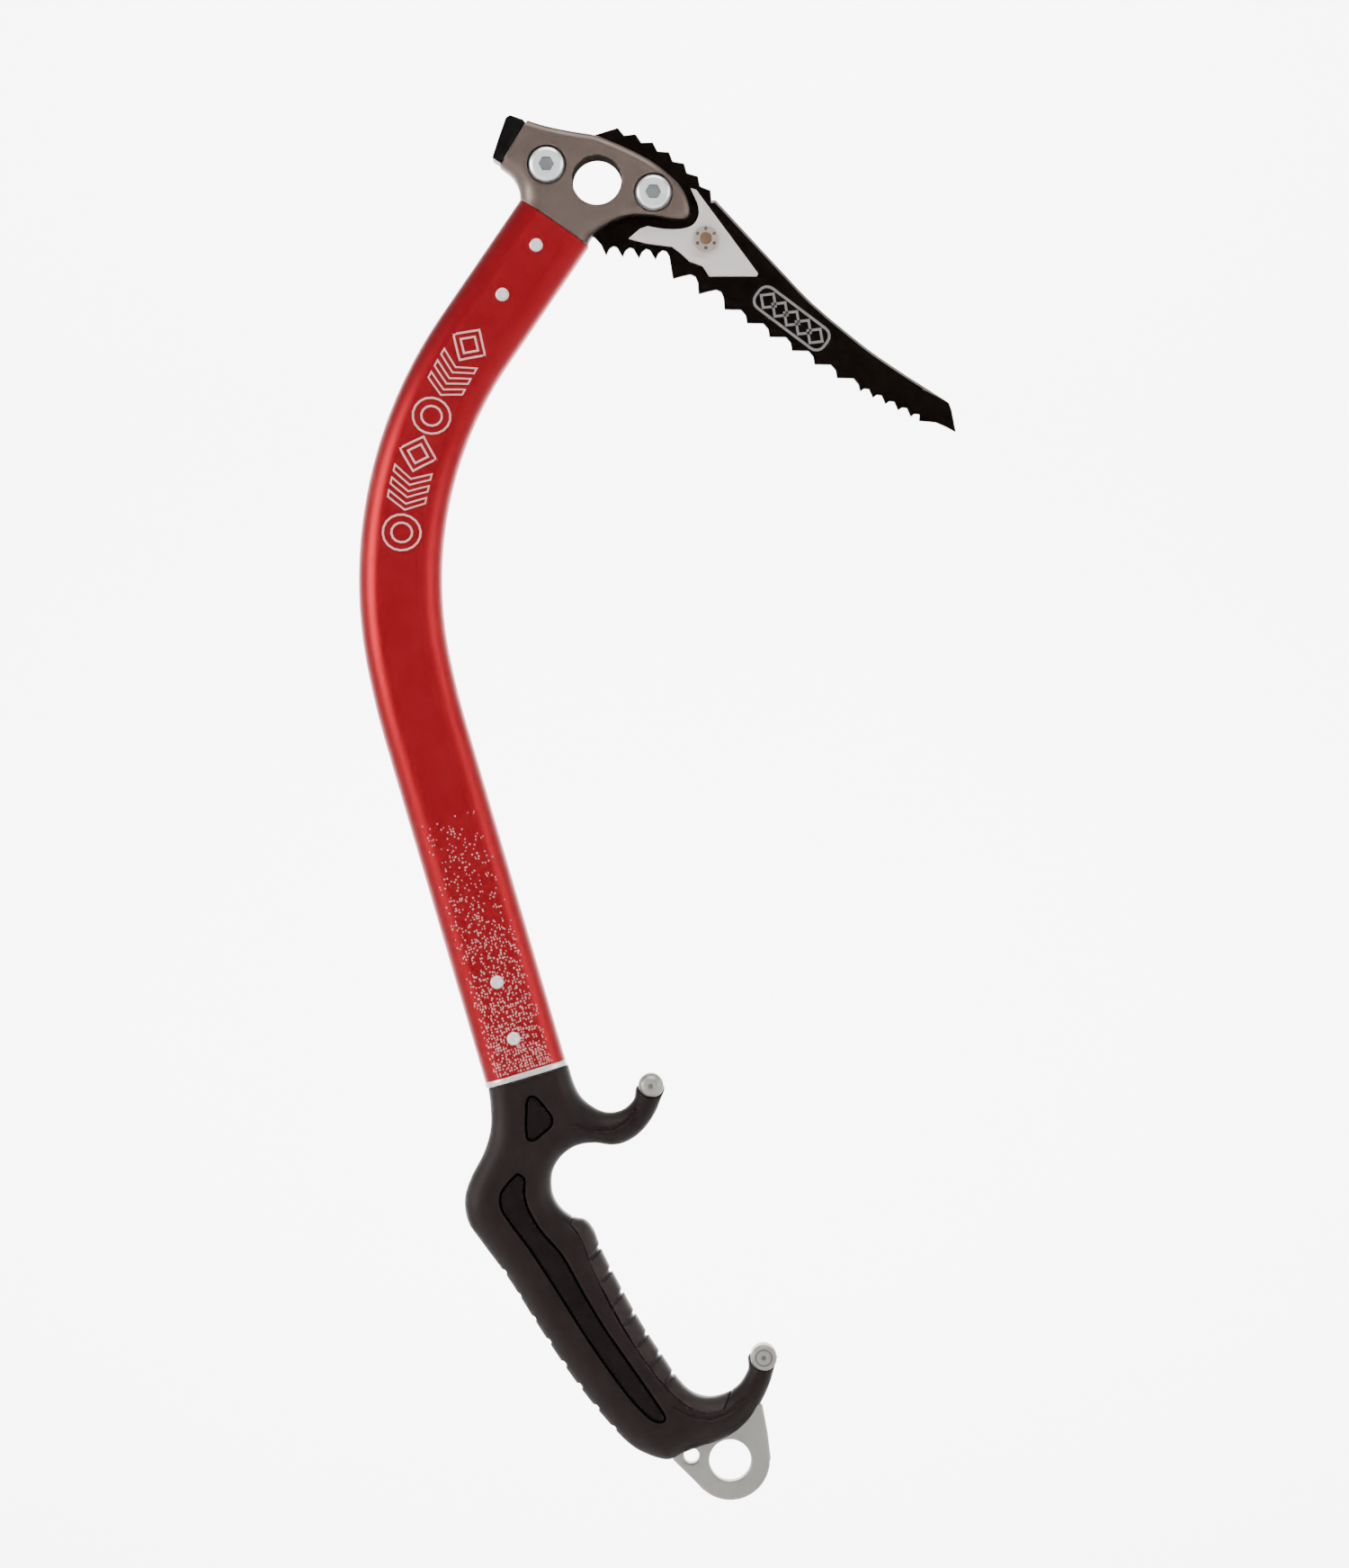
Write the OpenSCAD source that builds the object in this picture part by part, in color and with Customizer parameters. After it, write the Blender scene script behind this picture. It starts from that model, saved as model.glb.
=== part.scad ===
// Technical ice axe with a bent shaft, a bolted pick, a hammer insert and a two-hook grip.
// Frame: X runs forward, the way the pick points, Z runs up, and Y is across the tool.
// The origin is the centre of the karabiner hole through the head. Units are millimetres.

/* [Shaft] */
// Width of the shaft in the plane of the tool
shaft_w = 30.5; // [30:0.1:31]
// Thickness of the shaft across the tool
shaft_t = 21; // [20.6:0.1:21.6]
// Wall of the shaft tube
shaft_wall = 1.8; // [1.5:0.1:2.1]
// Width of the flat panel on each side of the shaft
panel_w = 14.5; // [13.5:0.1:15.5]

/* [Head] */
// Thickness of the head across its cheeks
head_t = 20; // [19:0.5:20.6]
// Diameter of the karabiner hole through the head and the pick
clip_d = 17.8; // [17:0.2:19.4]

/* [Pick] */
// Thickness of the pick
pick_t = 4; // [3.5:0.1:4.4]
// Thickness of one pick weight
weight_t = 3.2; // [2.4:0.1:3.6]

/* [Bolts] */
// Diameter of a bolt head
bolt_head_d = 12.2; // [11.6:0.2:13]
// Diameter of a bolt shank
bolt_d = 8; // [7:0.5:8]

/* [Handle] */
// Thickness of the rubber grip across the tool
grip_t = 23; // [22:0.5:24]
// Thickness of the forged core and its lug
core_t = 8; // [7:0.5:9]
// Diameter of the clip-in eye in the lug
eye_d = 15.2; // [14:0.2:16]
// Diameter of the lanyard hole in the lug
lanyard_d = 5.6; // [4:0.2:6]

/* [Hidden] */
$fn = 64;

gap = 0.05;       // clearance between parts that sit against each other
far = 60;         // half length of a cutting tool across the part

// The shaft's centreline starts at the head, tilted back, and bends forward on its way down.
head_tilt = 34.4;
main_bend = 45.3;
main_bend_r = 154;
low_bend = 5.5;
low_bend_r = 290;
top_run = 51.6;
low_run = 128;
shaft_top = [-15.6, -15.1];

function along(tilt) = [-sin(tilt), -cos(tilt)];
function toward_front(tilt) = [cos(tilt), -sin(tilt)];
function bend_end(p, r, from, to) = p + r * (toward_front(from) - toward_front(to));
mid_tilt = head_tilt - main_bend;
foot_tilt = mid_tilt - low_bend;
bend_top = shaft_top + top_run * along(head_tilt);
bend_mid = bend_end(bend_top, main_bend_r, head_tilt, mid_tilt);
bend_low = bend_end(bend_mid, low_bend_r, mid_tilt, foot_tilt);
shaft_foot = bend_low + low_run * along(foot_tilt);

hair = 0.05;
lap = 0.5;
tang_len = 38;
core_tang_len = 42;
tang_fit = 0.1;
tang_pocket = [17, 9.5];
collar_h = 2.2;
collar_lip = 0.3;
rivet_r = 2;
rivet_head_r = 2.6;
rivet_head_h = 0.9;
rivet_mark_r = 0.8;
rivet_side = 0.4;             // the rivets sit this far behind the shaft's centreline
head_rivet_at = [10.75, 32.5]; // down from the shaft's top end
handle_rivet_at = [12.7, 34];  // up from the shaft's foot

rear_bolt_at = [-18.3, 5.7];
front_bolt_at = [20.5, -4.4];
counterbore_r = 7;
seat_y = 7.6;     // the counterbore's floor, from the middle plane
washer_r = 6.7;
washer_h = 1;
bolt_head_h = 3.4;
bolt_tip_y = 6;
socket_af = 5;
socket_depth = 2.4;
barrel_r = 5.5;
barrel_end_y = 7;
nut_flange_h = 3.2;
ear_y = 5;        // outer face of the hammer's ears

stud_at = [39.6, -20.8];
stud_r = 2.2;
weight_nut_r = 4.6;
weight_nut_h = 1.8;
weight_recess_r = 7.3;
weight_recess = 0.6;

eye_at = [48.5, -465.4];
lug_r = 14.5;
lanyard_at = [34.4, -463.7];
upper_tip_at = [19.6, -329.1];
upper_tip_r = 4.6;
lower_tip_at = [60.7, -427.9];
lower_tip_r = 4.8;
tip_y = 6.5;

// ---- Outlines, drawn in X and Z ----

// A smooth open curve through the points.
function spline(p, n = 4) = concat(
    [for (i = [0:len(p) - 2])
        let (a = p[max(i - 1, 0)], b = p[i], c = p[i + 1], d = p[min(i + 2, len(p) - 1)])
        for (k = [0:n - 1])
            let (t = k / n)
            b + (c - a) * t / 2 + (2 * a - 5 * b + 4 * c - d) * t * t / 2
              + (3 * b - a - 3 * c + d) * t * t * t / 2],
    [p[len(p) - 1]]);

// A band of changing half width along stations of [x, z, half width].
function side_of(s, i, way) =
    let (a = s[max(i - 1, 0)], b = s[min(i + 1, len(s) - 1)])
    let (d = [b.x - a.x, b.y - a.y] / norm([b.x - a.x, b.y - a.y]))
    [s[i].x, s[i].y] + way * s[i][2] * [-d.y, d.x];
function ribbon(s) = concat(
    [for (i = [0:len(s) - 1]) side_of(s, i, 1)],
    [for (i = [len(s) - 1:-1:0]) side_of(s, i, -1)]);

// A row of teeth: each repeats the points of one tooth, measured from its tip.
function teeth(first, step, count, tooth) =
    [for (i = [0:count - 1]) for (p = tooth) first + i * step + p];

// The teeth over the head lie on an arc round this centre.
crest_centre = [-11.9, -45.5];
crest_r = 68.2;
crest_depth = 2;
crest_first = 73.4;
crest_step = 5.8;
crest_count = 7;
function on_crest(a, r) = crest_centre + r * [cos(a), sin(a)];
crest_teeth = [for (i = [0:crest_count - 1])
    let (a = crest_first - i * crest_step)
    each [on_crest(a, crest_r), on_crest(a - crest_step * 0.45, crest_r - crest_depth)]];

pick_back = spline([
    [43.1, -6.3], [58.4, -22.7], [73.7, -39.2], [81.7, -46.8], [90.2, -53.9], [100.4, -61.9],
    [112.6, -70.2]]);
pick_nose = [[128.3, -80.2], [129.3, -82.9], [130.9, -91.1], [127.1, -89], [123.3, -87.4], [117.3, -86.9]];
pick_low_teeth = concat(
    [[-3.8, -18.3], [-0.8, -20.2], [1.5, -22.7]],
    teeth([3.3, -26.7], [6, -0.5], 4, [[0, 0], [1.1, 2.4], [2.6, 3.5], [4, 3], [5, 1.2]]),
    teeth([27.6, -35.1], [9.4, -5.6], 2, [[0, 0], [3.4, 0.9], [6.4, 1.6], [8.2, 0.8], [9.1, -1.4]]),
    teeth([46.4, -46.3], [8.2, -5], 6, [[0, 0], [6, -0.1], [7.8, -2.2]]),
    teeth([95.9, -76.2], [4.6, -2.3], 5, [[0, 0], [1.4, 1.1], [3.2, 0.9]]));
pick_tail = spline([
    [-8.3, -13.1], [-12.3, -7.7], [-19.3, -2.3], [-25.9, -0.1], [-27.5, 7.1], [-24.8, 14.3], [-18.3, 16.5],
    [-9.3, 16.5], [-1.3, 17.1]]);
pick_outline = concat(crest_teeth, pick_back, pick_nose,
    [for (i = [len(pick_low_teeth) - 1:-1:0]) pick_low_teeth[i]], pick_tail);

// The cheeks' rear edge, where the hammer block starts.
cheek_low = [-35, 6.3];
cheek_high = [-25.9, 21];
// The cheeks' lower edge, square to the shaft and just above its top end.
function above_shaft(reach) = shaft_top - 2 * gap * along(head_tilt) + reach * toward_front(head_tilt);
head_outline = concat(
    [cheek_low, cheek_high],
    spline([
        [-22.8, 21.1], [-16.6, 19.4], [-7.9, 17.7], [-1.1, 16.6], [5.9, 14], [12.8, 10.9], [19.8, 7.1],
        [25.7, 2.7], [30.3, -1.7], [33, -6.9], [33.9, -11.3], [32.3, -13.7], [27.7, -13.9], [19.8, -12.6],
        [12.7, -12.5], [6.9, -14], [2.1, -16.7], [-1.7, -19.7]]),
    [above_shaft(12.8), above_shaft(-14.2)],
    spline([[-28.2, -4.1], [-29.2, -1.1], [-31.9, 2.6]]));
slot_outline = [
    [-45.3, 6.1], [-30.3, 2.6], [-26.5, -2.1], [-19.5, -3.2], [-13, -8.3], [-4.5, -19.3], [-0.3, -22.9],
    [60, -22.9], [60, 41], [-45.3, 41]];
hammer_outline = [
    [-38, 8.3], [-35.6, 15.7], [-33.1, 22.7], [-31.7, 23.7], [-26.9, 22.1],
    cheek_high + [-0.13, 0.08], cheek_low + [-0.13, 0.08]];

weight_outline = concat(
    [
        [36.1, -3.1], [58.6, -33.5], [58.1, -34.5], [40.9, -34.5], [38.5, -30.9], [33.7, -29.1],
        [30.4, -26.1], [27.3, -23.7], [17.9, -22.5], [11.5, -20.8], [15.7, -17.2]],
    spline([
        [18.4, -16.3], [24.4, -17.3], [30.4, -17.3], [34.7, -15.9], [36.9, -12.5], [36.7, -8.5], [35.1, -4.9],
        [34.1, -2.5]]));

// The grip's silhouette starts above the collar, on the palm side, and ends above it on the finger side.
grip_outline = spline([
    [-42.7, -319.4], [-39.8, -329.7], [-38.8, -337.4], [-38.9, -345.2], [-41.4, -353.7],
    [-45.9, -362.4], [-48.2, -370.4], [-46.9, -378.7], [-41.9, -386.1], [-32.3, -399.2],
    [-20.3, -418.2], [-8.7, -435.5], [2.7, -449.9], [13.2, -460.5], [24.7, -465.1], [31.2, -462.8],
    [37.7, -460.3], [43.1, -458.7], [48.7, -456.1], [54.3, -451.7], [58.7, -446.3], [62.4, -439.1],
    [64.6, -431.9], [65.3, -426.9], [55.7, -426.9], [55, -432.5], [51.7, -437.9], [46.7, -441.2],
    [40.7, -442.5], [34.7, -440.8], [29.7, -436.1], [24.7, -428.9], [15.7, -415.1], [6.9, -399.3],
    [1.3, -388.2], [-1.1, -381.9], [-4.3, -378.1], [-8.9, -376.9], [-13.5, -373.3], [-16.3, -367.9],
    [-16.3, -360.9], [-13.3, -355.1], [-7.9, -351.1], [-1.3, -349.9], [5.7, -350.7], [11.3, -349.3],
    [16.3, -345.7], [20.3, -340.5], [22.9, -334.9], [24.2, -328.9], [15, -328.9], [13.3, -334.1],
    [9.5, -337.7], [4.5, -338.9], [-0.3, -337.5], [-5.1, -334], [-8.2, -329], [-10.6, -321.5],
    [-13.5, -311.7]]);
// The soft strip under the fingers: the curve is its inner edge, and the rest lies outside the grip.
strip_zone = concat(
    spline([
        [-9.8, -378.9], [-5.9, -383.9], [-2.5, -392.9], [1.6, -401.9], [7.3, -412.9], [13.3, -422.5],
        [19.5, -431.3], [25.7, -438.9], [32.7, -444.9], [39.3, -447.5], [45.7, -446.7]]),
    [[51.7, -434.9], [29.7, -418.9], [9.7, -378.9], [-6.3, -370.9]]);

core_main = [
    [-28.3, -314.9, 10], [-25.3, -328.9, 10], [-25.8, -340.9, 9.5], [-28.8, -353.9, 9], [-31.8, -364.9, 9.5],
    [-30.8, -373.9, 10.5], [-24.3, -384.9, 11], [-14.3, -399.9, 11], [-0.3, -419.9, 10.5], [13.7, -437.9, 10],
    [25.7, -448.9, 8.5], [36.7, -451.9, 6], [46.2, -449.9, 4.6], [53.2, -444.5, 4], [57.9, -437.9, 3.2],
    [60.3, -430.9, 3], [60.7, -427.9, 3]];
core_horn = [
    [-24.3, -339.9, 6], [-12.3, -341.4, 5], [-4.3, -343.5, 4.2], [3.7, -345.1, 3.5], [10.1, -343.7, 3.2],
    [15.5, -339.3, 3], [18.7, -333.7, 2.8], [19.6, -329.1, 2.8]];
lug_outline = [
    [23.7, -455.9], [27.9, -465.5], [38.55, -475.85], eye_at, [63.3, -465.1], [62.3, -455.9],
    [60.3, -445.3], [54.7, -442.9], [39.7, -452.9]];

upper_inlay = spline([
    [-25.3, -335.5], [-24.4, -333.1], [-22.3, -333.2], [-19.4, -336.2], [-16.6, -340.2], [-16.8, -343],
    [-19.8, -345.8], [-22.6, -348], [-24.8, -347.8], [-25.4, -344.8], [-25.4, -340], [-25.3, -335.5]]);
lower_inlay = spline([
    [-28.7, -360.9], [-31.7, -363.9], [-34.5, -368], [-34.3, -373.2], [-30.5, -379.2], [-23, -389.3],
    [-13.6, -403.8], [-2.5, -421.3], [9.8, -438.6], [17.4, -447.2], [22.1, -450.4], [24.6, -449.2],
    [21.5, -444], [14, -433.1], [3.3, -417.8], [-4.9, -404.4], [-12.6, -390.7], [-20.8, -381],
    [-25.4, -372.8], [-26.5, -367.4], [-26.5, -362.7], [-28.7, -360.9]]);
inlay_groove = 0.5;
inlay_floor_y = grip_t / 2 - 1.5;
inlay_top_y = grip_t / 2 - 0.3;

// The grip is built in slabs across Y: [from, to, inset of the silhouette].
grip_half = grip_t / 2;
core_half = core_t / 2;
grip_slabs = [
    [core_half, grip_half * 0.54, 0.6], [grip_half * 0.54, grip_half * 0.7, 1.8],
    [grip_half * 0.7, grip_half * 0.85, 3.6], [grip_half * 0.85, grip_half, 6.4]];

// Serrations notch the grip's edges. Each row follows its curved edge: first + i * step + i * i * turn.
finger_rib_r = 1.5;
finger_rib_count = 7;
finger_rib_row = [[1.45, -387.3], [4, -8.2], [0.07, 0.08]];
palm_rib_r = 1.3;
palm_rib_count = 8;
palm_rib_row = [[-34.2, -397.1], [5.2, -8.6], [0.07, 0.07]];
function row_point(row, i) = row[0] + i * row[1] + i * i * row[2];

// ---- Helpers ----

// Extrudes a 2D shape, drawn in X and Z, from y0 to y1.
module slab(y0, y1) {
    translate([0, y1, 0]) rotate([90, 0, 0]) linear_extrude(y1 - y0) children();
}

// A cylinder across the tool, from y0 to y1, at a point in X and Z.
module pin(at, r, y0 = -far, y1 = far) {
    translate([at.x, y1, at.y]) rotate([90, 0, 0]) cylinder(r = r, h = y1 - y0);
}

// The same shape on both sides of the middle plane.
module both_sides() {
    children();
    mirror([0, 1, 0]) children();
}

// Frame at the shaft's top end: +Z runs down the shaft, and +X points to its back.
module at_shaft_top() {
    translate([shaft_top.x, 0, shaft_top.y]) rotate([0, 180 + head_tilt, 0]) children();
}

// Frame at the shaft's foot: +Z runs on into the handle, and +X points to the palm side.
module at_shaft_foot() {
    translate([shaft_foot.x, 0, shaft_foot.y]) rotate([0, 180 + foot_tilt, 0]) children();
}

// ---- Shaft ----

// Flat side panels with a round nose and back. The section grows by g all round.
module shaft_section(g = 0) {
    half_t = shaft_t / 2;
    flank = (shaft_w - panel_w) / 2;
    flank_r = (flank * flank + half_t * half_t) / (2 * flank);
    off = shaft_w / 2 - flank_r;
    intersection() {
        square([2 * shaft_w, shaft_t + 2 * g], center = true);
        union() {
            for (s = [-1, 1]) translate([s * off, 0]) circle(r = flank_r + g);
            square([2 * off, shaft_t + 2 * g + 0.3], center = true);
        }
    }
}

module run(length, g, lap = 0) {
    translate([0, 0, -lap]) linear_extrude(length + lap) shaft_section(g);
    translate([0, 0, length]) children();
}

// Bends the bar forward by an angle.
module bend(r, angle, g, lap = 0) {
    extra = lap / r * 180 / PI;
    translate([-r, 0, 0]) {
        rotate([90, 0, 0]) rotate([0, 0, -extra]) rotate_extrude(angle = angle + 2 * extra)
            translate([r, 0]) shaft_section(g);
        rotate([0, -angle, 0]) translate([r, 0, 0]) children();
    }
}

// Every second piece is a hair smaller and laps into its neighbours, so the pieces join cleanly.
module shaft_bar(g = 0) {
    run(top_run, g + hair) bend(main_bend_r, main_bend, g, lap) bend(low_bend_r, low_bend, g + hair)
        run(low_run, g, lap);
}

module rivet_axis(at) {
    translate([rivet_side, 0, at]) rotate([90, 0, 0]) children();
}

module rivet_holes(places) {
    for (d = places) rivet_axis(d) cylinder(r = rivet_r + gap, h = 2 * far, center = true);
}

module shaft() {
    color("firebrick") difference() {
        at_shaft_top() shaft_bar();
        at_shaft_top() shaft_bar(-shaft_wall);
        at_shaft_top() rivet_holes(head_rivet_at);
        at_shaft_foot() rivet_holes(-handle_rivet_at);
    }
}

// One solid rivet across the shaft, with a low head and a centre mark on each side.
module rivet() {
    difference() {
        union() {
            cylinder(r = rivet_r, h = shaft_t, center = true);
            for (way = [0, 180]) rotate([way, 0, 0]) translate([0, 0, shaft_t / 2 + gap])
                cylinder(r1 = rivet_head_r, r2 = rivet_head_r - 0.6, h = rivet_head_h);
            cylinder(r = rivet_r, h = shaft_t + 2 * gap, center = true);
        }
        for (way = [0, 180]) rotate([way, 0, 0]) translate([0, 0, shaft_t / 2 + rivet_head_h - 0.5])
            cylinder(r = rivet_mark_r, h = 1);
    }
}

module head_rivets() {
    color("silver") at_shaft_top() for (d = head_rivet_at) rivet_axis(d) rivet();
}

module handle_rivets() {
    color("silver") at_shaft_foot() for (d = handle_rivet_at) rivet_axis(-d) rivet();
}

module shaft_collar() {
    color("gainsboro") at_shaft_foot() translate([0, 0, gap]) linear_extrude(collar_h) difference() {
        shaft_section(collar_lip);
        shaft_section(-shaft_wall);
    }
}

// ---- Head ----

// The cheeks thin a little towards the nose and the rear.
module head_plan() {
    half = head_t / 2;
    translate([0, 0, -far]) linear_extrude(2 * far)
        polygon([
            [-42.3, -half + 0.8], [-27.3, -half], [21.7, -half], [37.7, -half + 1.4],
            [37.7, half - 1.4], [21.7, half], [-27.3, half], [-42.3, half - 0.8]]);
}

module head_tang() {
    at_shaft_top() difference() {
        translate([0, 0, -4]) linear_extrude(tang_len + 4) shaft_section(-shaft_wall - tang_fit);
        translate([0, 0, 8]) linear_extrude(tang_len) square(tang_pocket, center = true);
        rivet_holes(head_rivet_at);
    }
}

module ear_shape(grow = 0) {
    translate(rear_bolt_at) circle(r = 7.6 + grow);
    polygon([
        [-34.5 - grow, 7.9 - grow], [-26.5 - grow, 21.5 + grow], [-19.9, 14.1 + grow], [-21.7, 0.5 - grow]]);
}

module head() {
    color("dimgray") difference() {
        union() {
            intersection() {
                slab(-far, far) polygon(head_outline);
                head_plan();
            }
            head_tang();
        }
        slab(-pick_t / 2 - gap, pick_t / 2 + gap) polygon(slot_outline);
        slab(-ear_y - gap, ear_y + gap) ear_shape(0.2);
        pin([0, 0], clip_d / 2);
        for (p = [rear_bolt_at, front_bolt_at]) {
            pin(p, barrel_r + gap);
            pin(p, counterbore_r, seat_y, far);
            pin(p, counterbore_r, -far, -seat_y);
        }
    }
}

module hammer() {
    block_half = head_t / 2 - 1.4;
    color([0.1, 0.1, 0.11]) difference() {
        union() {
            slab(-block_half, block_half) polygon(hammer_outline);
            slab(-ear_y, ear_y) {
                intersection() {
                    ear_shape();
                    polygon([cheek_low, cheek_high, [0, 21], [0, -19], [-35.2, -19]]);
                }
                polygon([
                    cheek_low + [-1, 0.6], cheek_high + [-1, 0.6],
                    cheek_high + [0.6, -2.6], cheek_low + [1.2, 1.3]]);
            }
        }
        slab(-pick_t / 2 - gap, pick_t / 2 + gap) translate([-29.3, -19]) square([29.3, 44]);
        pin(rear_bolt_at, barrel_r + gap);
    }
}

// ---- Bolts, each drawn from the head side, with the bolt's axis along Z ----

module hex_socket(depth) {
    cylinder(d = socket_af / cos(30), h = depth, $fn = 6);
}

module bolt() {
    under = seat_y + washer_h;
    difference() {
        union() {
            translate([0, 0, -bolt_tip_y]) cylinder(r = bolt_d / 2, h = bolt_tip_y + under + 1);
            translate([0, 0, under + gap]) cylinder(r = bolt_head_d / 2, h = bolt_head_h - 0.8);
            translate([0, 0, under + gap + bolt_head_h - 0.8])
                cylinder(r1 = bolt_head_d / 2, r2 = bolt_head_d / 2 - 1, h = 0.8);
        }
        translate([0, 0, under + bolt_head_h - socket_depth]) hex_socket(2 * socket_depth);
    }
}

module washer() {
    translate([0, 0, seat_y + gap / 2]) difference() {
        cylinder(r = washer_r, h = washer_h);
        translate([0, 0, -1]) cylinder(r = bolt_d / 2 + 0.15, h = washer_h + 2);
    }
}

// The barrel passes through both cheeks and the pick, and its flange sits in the far counterbore.
module barrel_nut() {
    bore_r = bolt_d / 2 + gap;
    flange_top = -seat_y - gap - nut_flange_h;
    difference() {
        union() {
            translate([0, 0, -seat_y]) cylinder(r = barrel_r, h = seat_y + barrel_end_y);
            translate([0, 0, flange_top]) cylinder(r1 = bolt_head_d / 2 - 0.8, r2 = bolt_head_d / 2, h = 0.8);
            translate([0, 0, flange_top + 0.8]) cylinder(r = bolt_head_d / 2, h = nut_flange_h - 0.8);
            translate([0, 0, -seat_y - 1]) cylinder(r = barrel_r, h = 2);
        }
        translate([0, 0, -bolt_tip_y - 0.6]) cylinder(r = bore_r, h = far);
        translate([0, 0, flange_top - 1]) hex_socket(3.2);
    }
}

// Puts a part on a bolt's axis: its +Z then points at -Y, where the bolt heads are.
module on_bolt(at) {
    translate([at.x, 0, at.y]) rotate([90, 0, 0]) children();
}

module front_bolt() color("lightsteelblue") on_bolt(front_bolt_at) bolt();
module rear_bolt() color("lightsteelblue") on_bolt(rear_bolt_at) bolt();
module front_washer() color("gray") on_bolt(front_bolt_at) washer();
module rear_washer() color("gray") on_bolt(rear_bolt_at) washer();
module front_nut() color("lightsteelblue") on_bolt(front_bolt_at) barrel_nut();
module rear_nut() color("lightsteelblue") on_bolt(rear_bolt_at) barrel_nut();

// ---- Pick and its weights ----

module pick() {
    half = pick_t / 2;
    color([0.07, 0.06, 0.06]) difference() {
        intersection() {
            slab(-half, half) polygon(pick_outline);
            translate([0, 0, -2 * far]) linear_extrude(3 * far) polygon([
                [-far, -half], [118.7, -half], [131, -0.6], [131, 0.6], [118.7, half], [-far, half]]);
        }
        pin([0, 0], clip_d / 2);
        for (p = [rear_bolt_at, front_bolt_at]) pin(p, barrel_r + gap);
        pin(stud_at, stud_r + gap);
    }
}

// One weight, on the +Y side of the pick.
module weight() {
    y0 = pick_t / 2 + gap;
    color([0.83, 0.82, 0.8]) difference() {
        slab(y0, y0 + weight_t) polygon(weight_outline);
        pin(stud_at, stud_r + gap);
        pin(stud_at, weight_recess_r, y0 + weight_t - weight_recess, far);
    }
}

module weight_left() weight();
module weight_right() mirror([0, 1, 0]) weight();

weight_nut_y = pick_t / 2 + gap + weight_t - weight_recess + gap;

module weight_nut() {
    pin_holes = 6;
    color([0.75, 0.74, 0.72]) difference() {
        pin(stud_at, weight_nut_r, weight_nut_y, weight_nut_y + weight_nut_h);
        pin(stud_at, stud_r + gap);
        for (i = [0:pin_holes - 1])
            let (a = i * 60 + 30)
            pin(stud_at + 3.5 * [cos(a), sin(a)], 0.65, weight_nut_y + weight_nut_h - 1, far);
    }
}

module weight_nut_left() weight_nut();
module weight_nut_right() mirror([0, 1, 0]) weight_nut();

module weight_stud() {
    end = weight_nut_y + weight_nut_h + 0.2;
    color([0.72, 0.5, 0.26]) pin(stud_at, stud_r, -end, end);
}

// ---- Handle ----

module core_shape() {
    polygon(ribbon(core_main));
    polygon(ribbon(core_horn));
    polygon(lug_outline);
    translate(eye_at) circle(r = lug_r);
}

// Everything above a line square to the shaft, at a height over its foot.
module above_foot(height) {
    translate(shaft_foot - height * along(foot_tilt)) rotate(-foot_tilt) translate([-far, 0]) square(2 * far);
}

module tip_discs(grow = 0) {
    translate(upper_tip_at) circle(r = upper_tip_r + grow);
    translate(lower_tip_at) circle(r = lower_tip_r + grow);
}

module handle_core() {
    color([0.66, 0.65, 0.63]) difference() {
        union() {
            slab(-core_half, core_half) difference() {
                core_shape();
                // The blade stops inside the tang.
                above_foot(6);
            }
            slab(-tip_y, tip_y) tip_discs();
            at_shaft_foot() translate([0, 0, -core_tang_len]) linear_extrude(core_tang_len + collar_h)
                shaft_section(-shaft_wall - tang_fit);
        }
        at_shaft_foot() translate([0, 0, -core_tang_len - 10]) linear_extrude(core_tang_len)
            square(tang_pocket, center = true);
        at_shaft_foot() rivet_holes(-handle_rivet_at);
        pin(eye_at, eye_d / 2);
        pin(lanyard_at, lanyard_d / 2);
        for (p = [upper_tip_at, lower_tip_at], s = [-1, 1])
            translate([p.x, s * tip_y, p.y]) rotate([90, 0, 0]) cylinder(r = 0.9, h = 2, center = true);
    }
}

// The silhouette, inset by d, cut square at the collar and round the metal tips.
module grip_shape(d = 0) {
    difference() {
        offset(delta = -d) polygon(grip_outline);
        above_foot(-collar_h - 2 * gap);
        tip_discs(gap);
    }
}

module finger_ribs() {
    for (i = [0:finger_rib_count - 1])
        translate(row_point(finger_rib_row, i)) circle(r = finger_rib_r, $fn = 16);
}

module palm_ribs() {
    for (i = [0:palm_rib_count - 1])
        translate(row_point(palm_rib_row, i)) circle(r = palm_rib_r, $fn = 16);
}

module grip_body() {
    color([0.13, 0.12, 0.12]) {
        slab(-core_half, core_half) difference() {
            grip_shape();
            offset(delta = gap) core_shape();
            polygon(strip_zone);
            palm_ribs();
        }
        both_sides() for (s = grip_slabs) slab(s[0], s[1]) difference() {
            grip_shape(s[2]);
            polygon(strip_zone);
            palm_ribs();
            if (s[1] > inlay_floor_y) {
                offset(delta = inlay_groove) polygon(upper_inlay);
                offset(delta = inlay_groove) polygon(lower_inlay);
            }
        }
    }
}

module grip_front_ribs() {
    color([0.24, 0.22, 0.22]) {
        slab(-core_half, core_half) difference() {
            intersection() {
                grip_shape();
                offset(delta = -gap) polygon(strip_zone);
            }
            offset(delta = gap) core_shape();
            finger_ribs();
        }
        both_sides() for (s = grip_slabs) slab(s[0], s[1]) difference() {
            intersection() {
                grip_shape(s[2]);
                offset(delta = -gap) polygon(strip_zone);
            }
            finger_ribs();
        }
    }
}

module inlay(outline) {
    color([0.07, 0.065, 0.065]) slab(inlay_floor_y + gap, inlay_top_y) polygon(outline);
}

module upper_inlay_left() inlay(upper_inlay);
module upper_inlay_right() mirror([0, 1, 0]) inlay(upper_inlay);
module lower_inlay_left() inlay(lower_inlay);
module lower_inlay_right() mirror([0, 1, 0]) inlay(lower_inlay);

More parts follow.
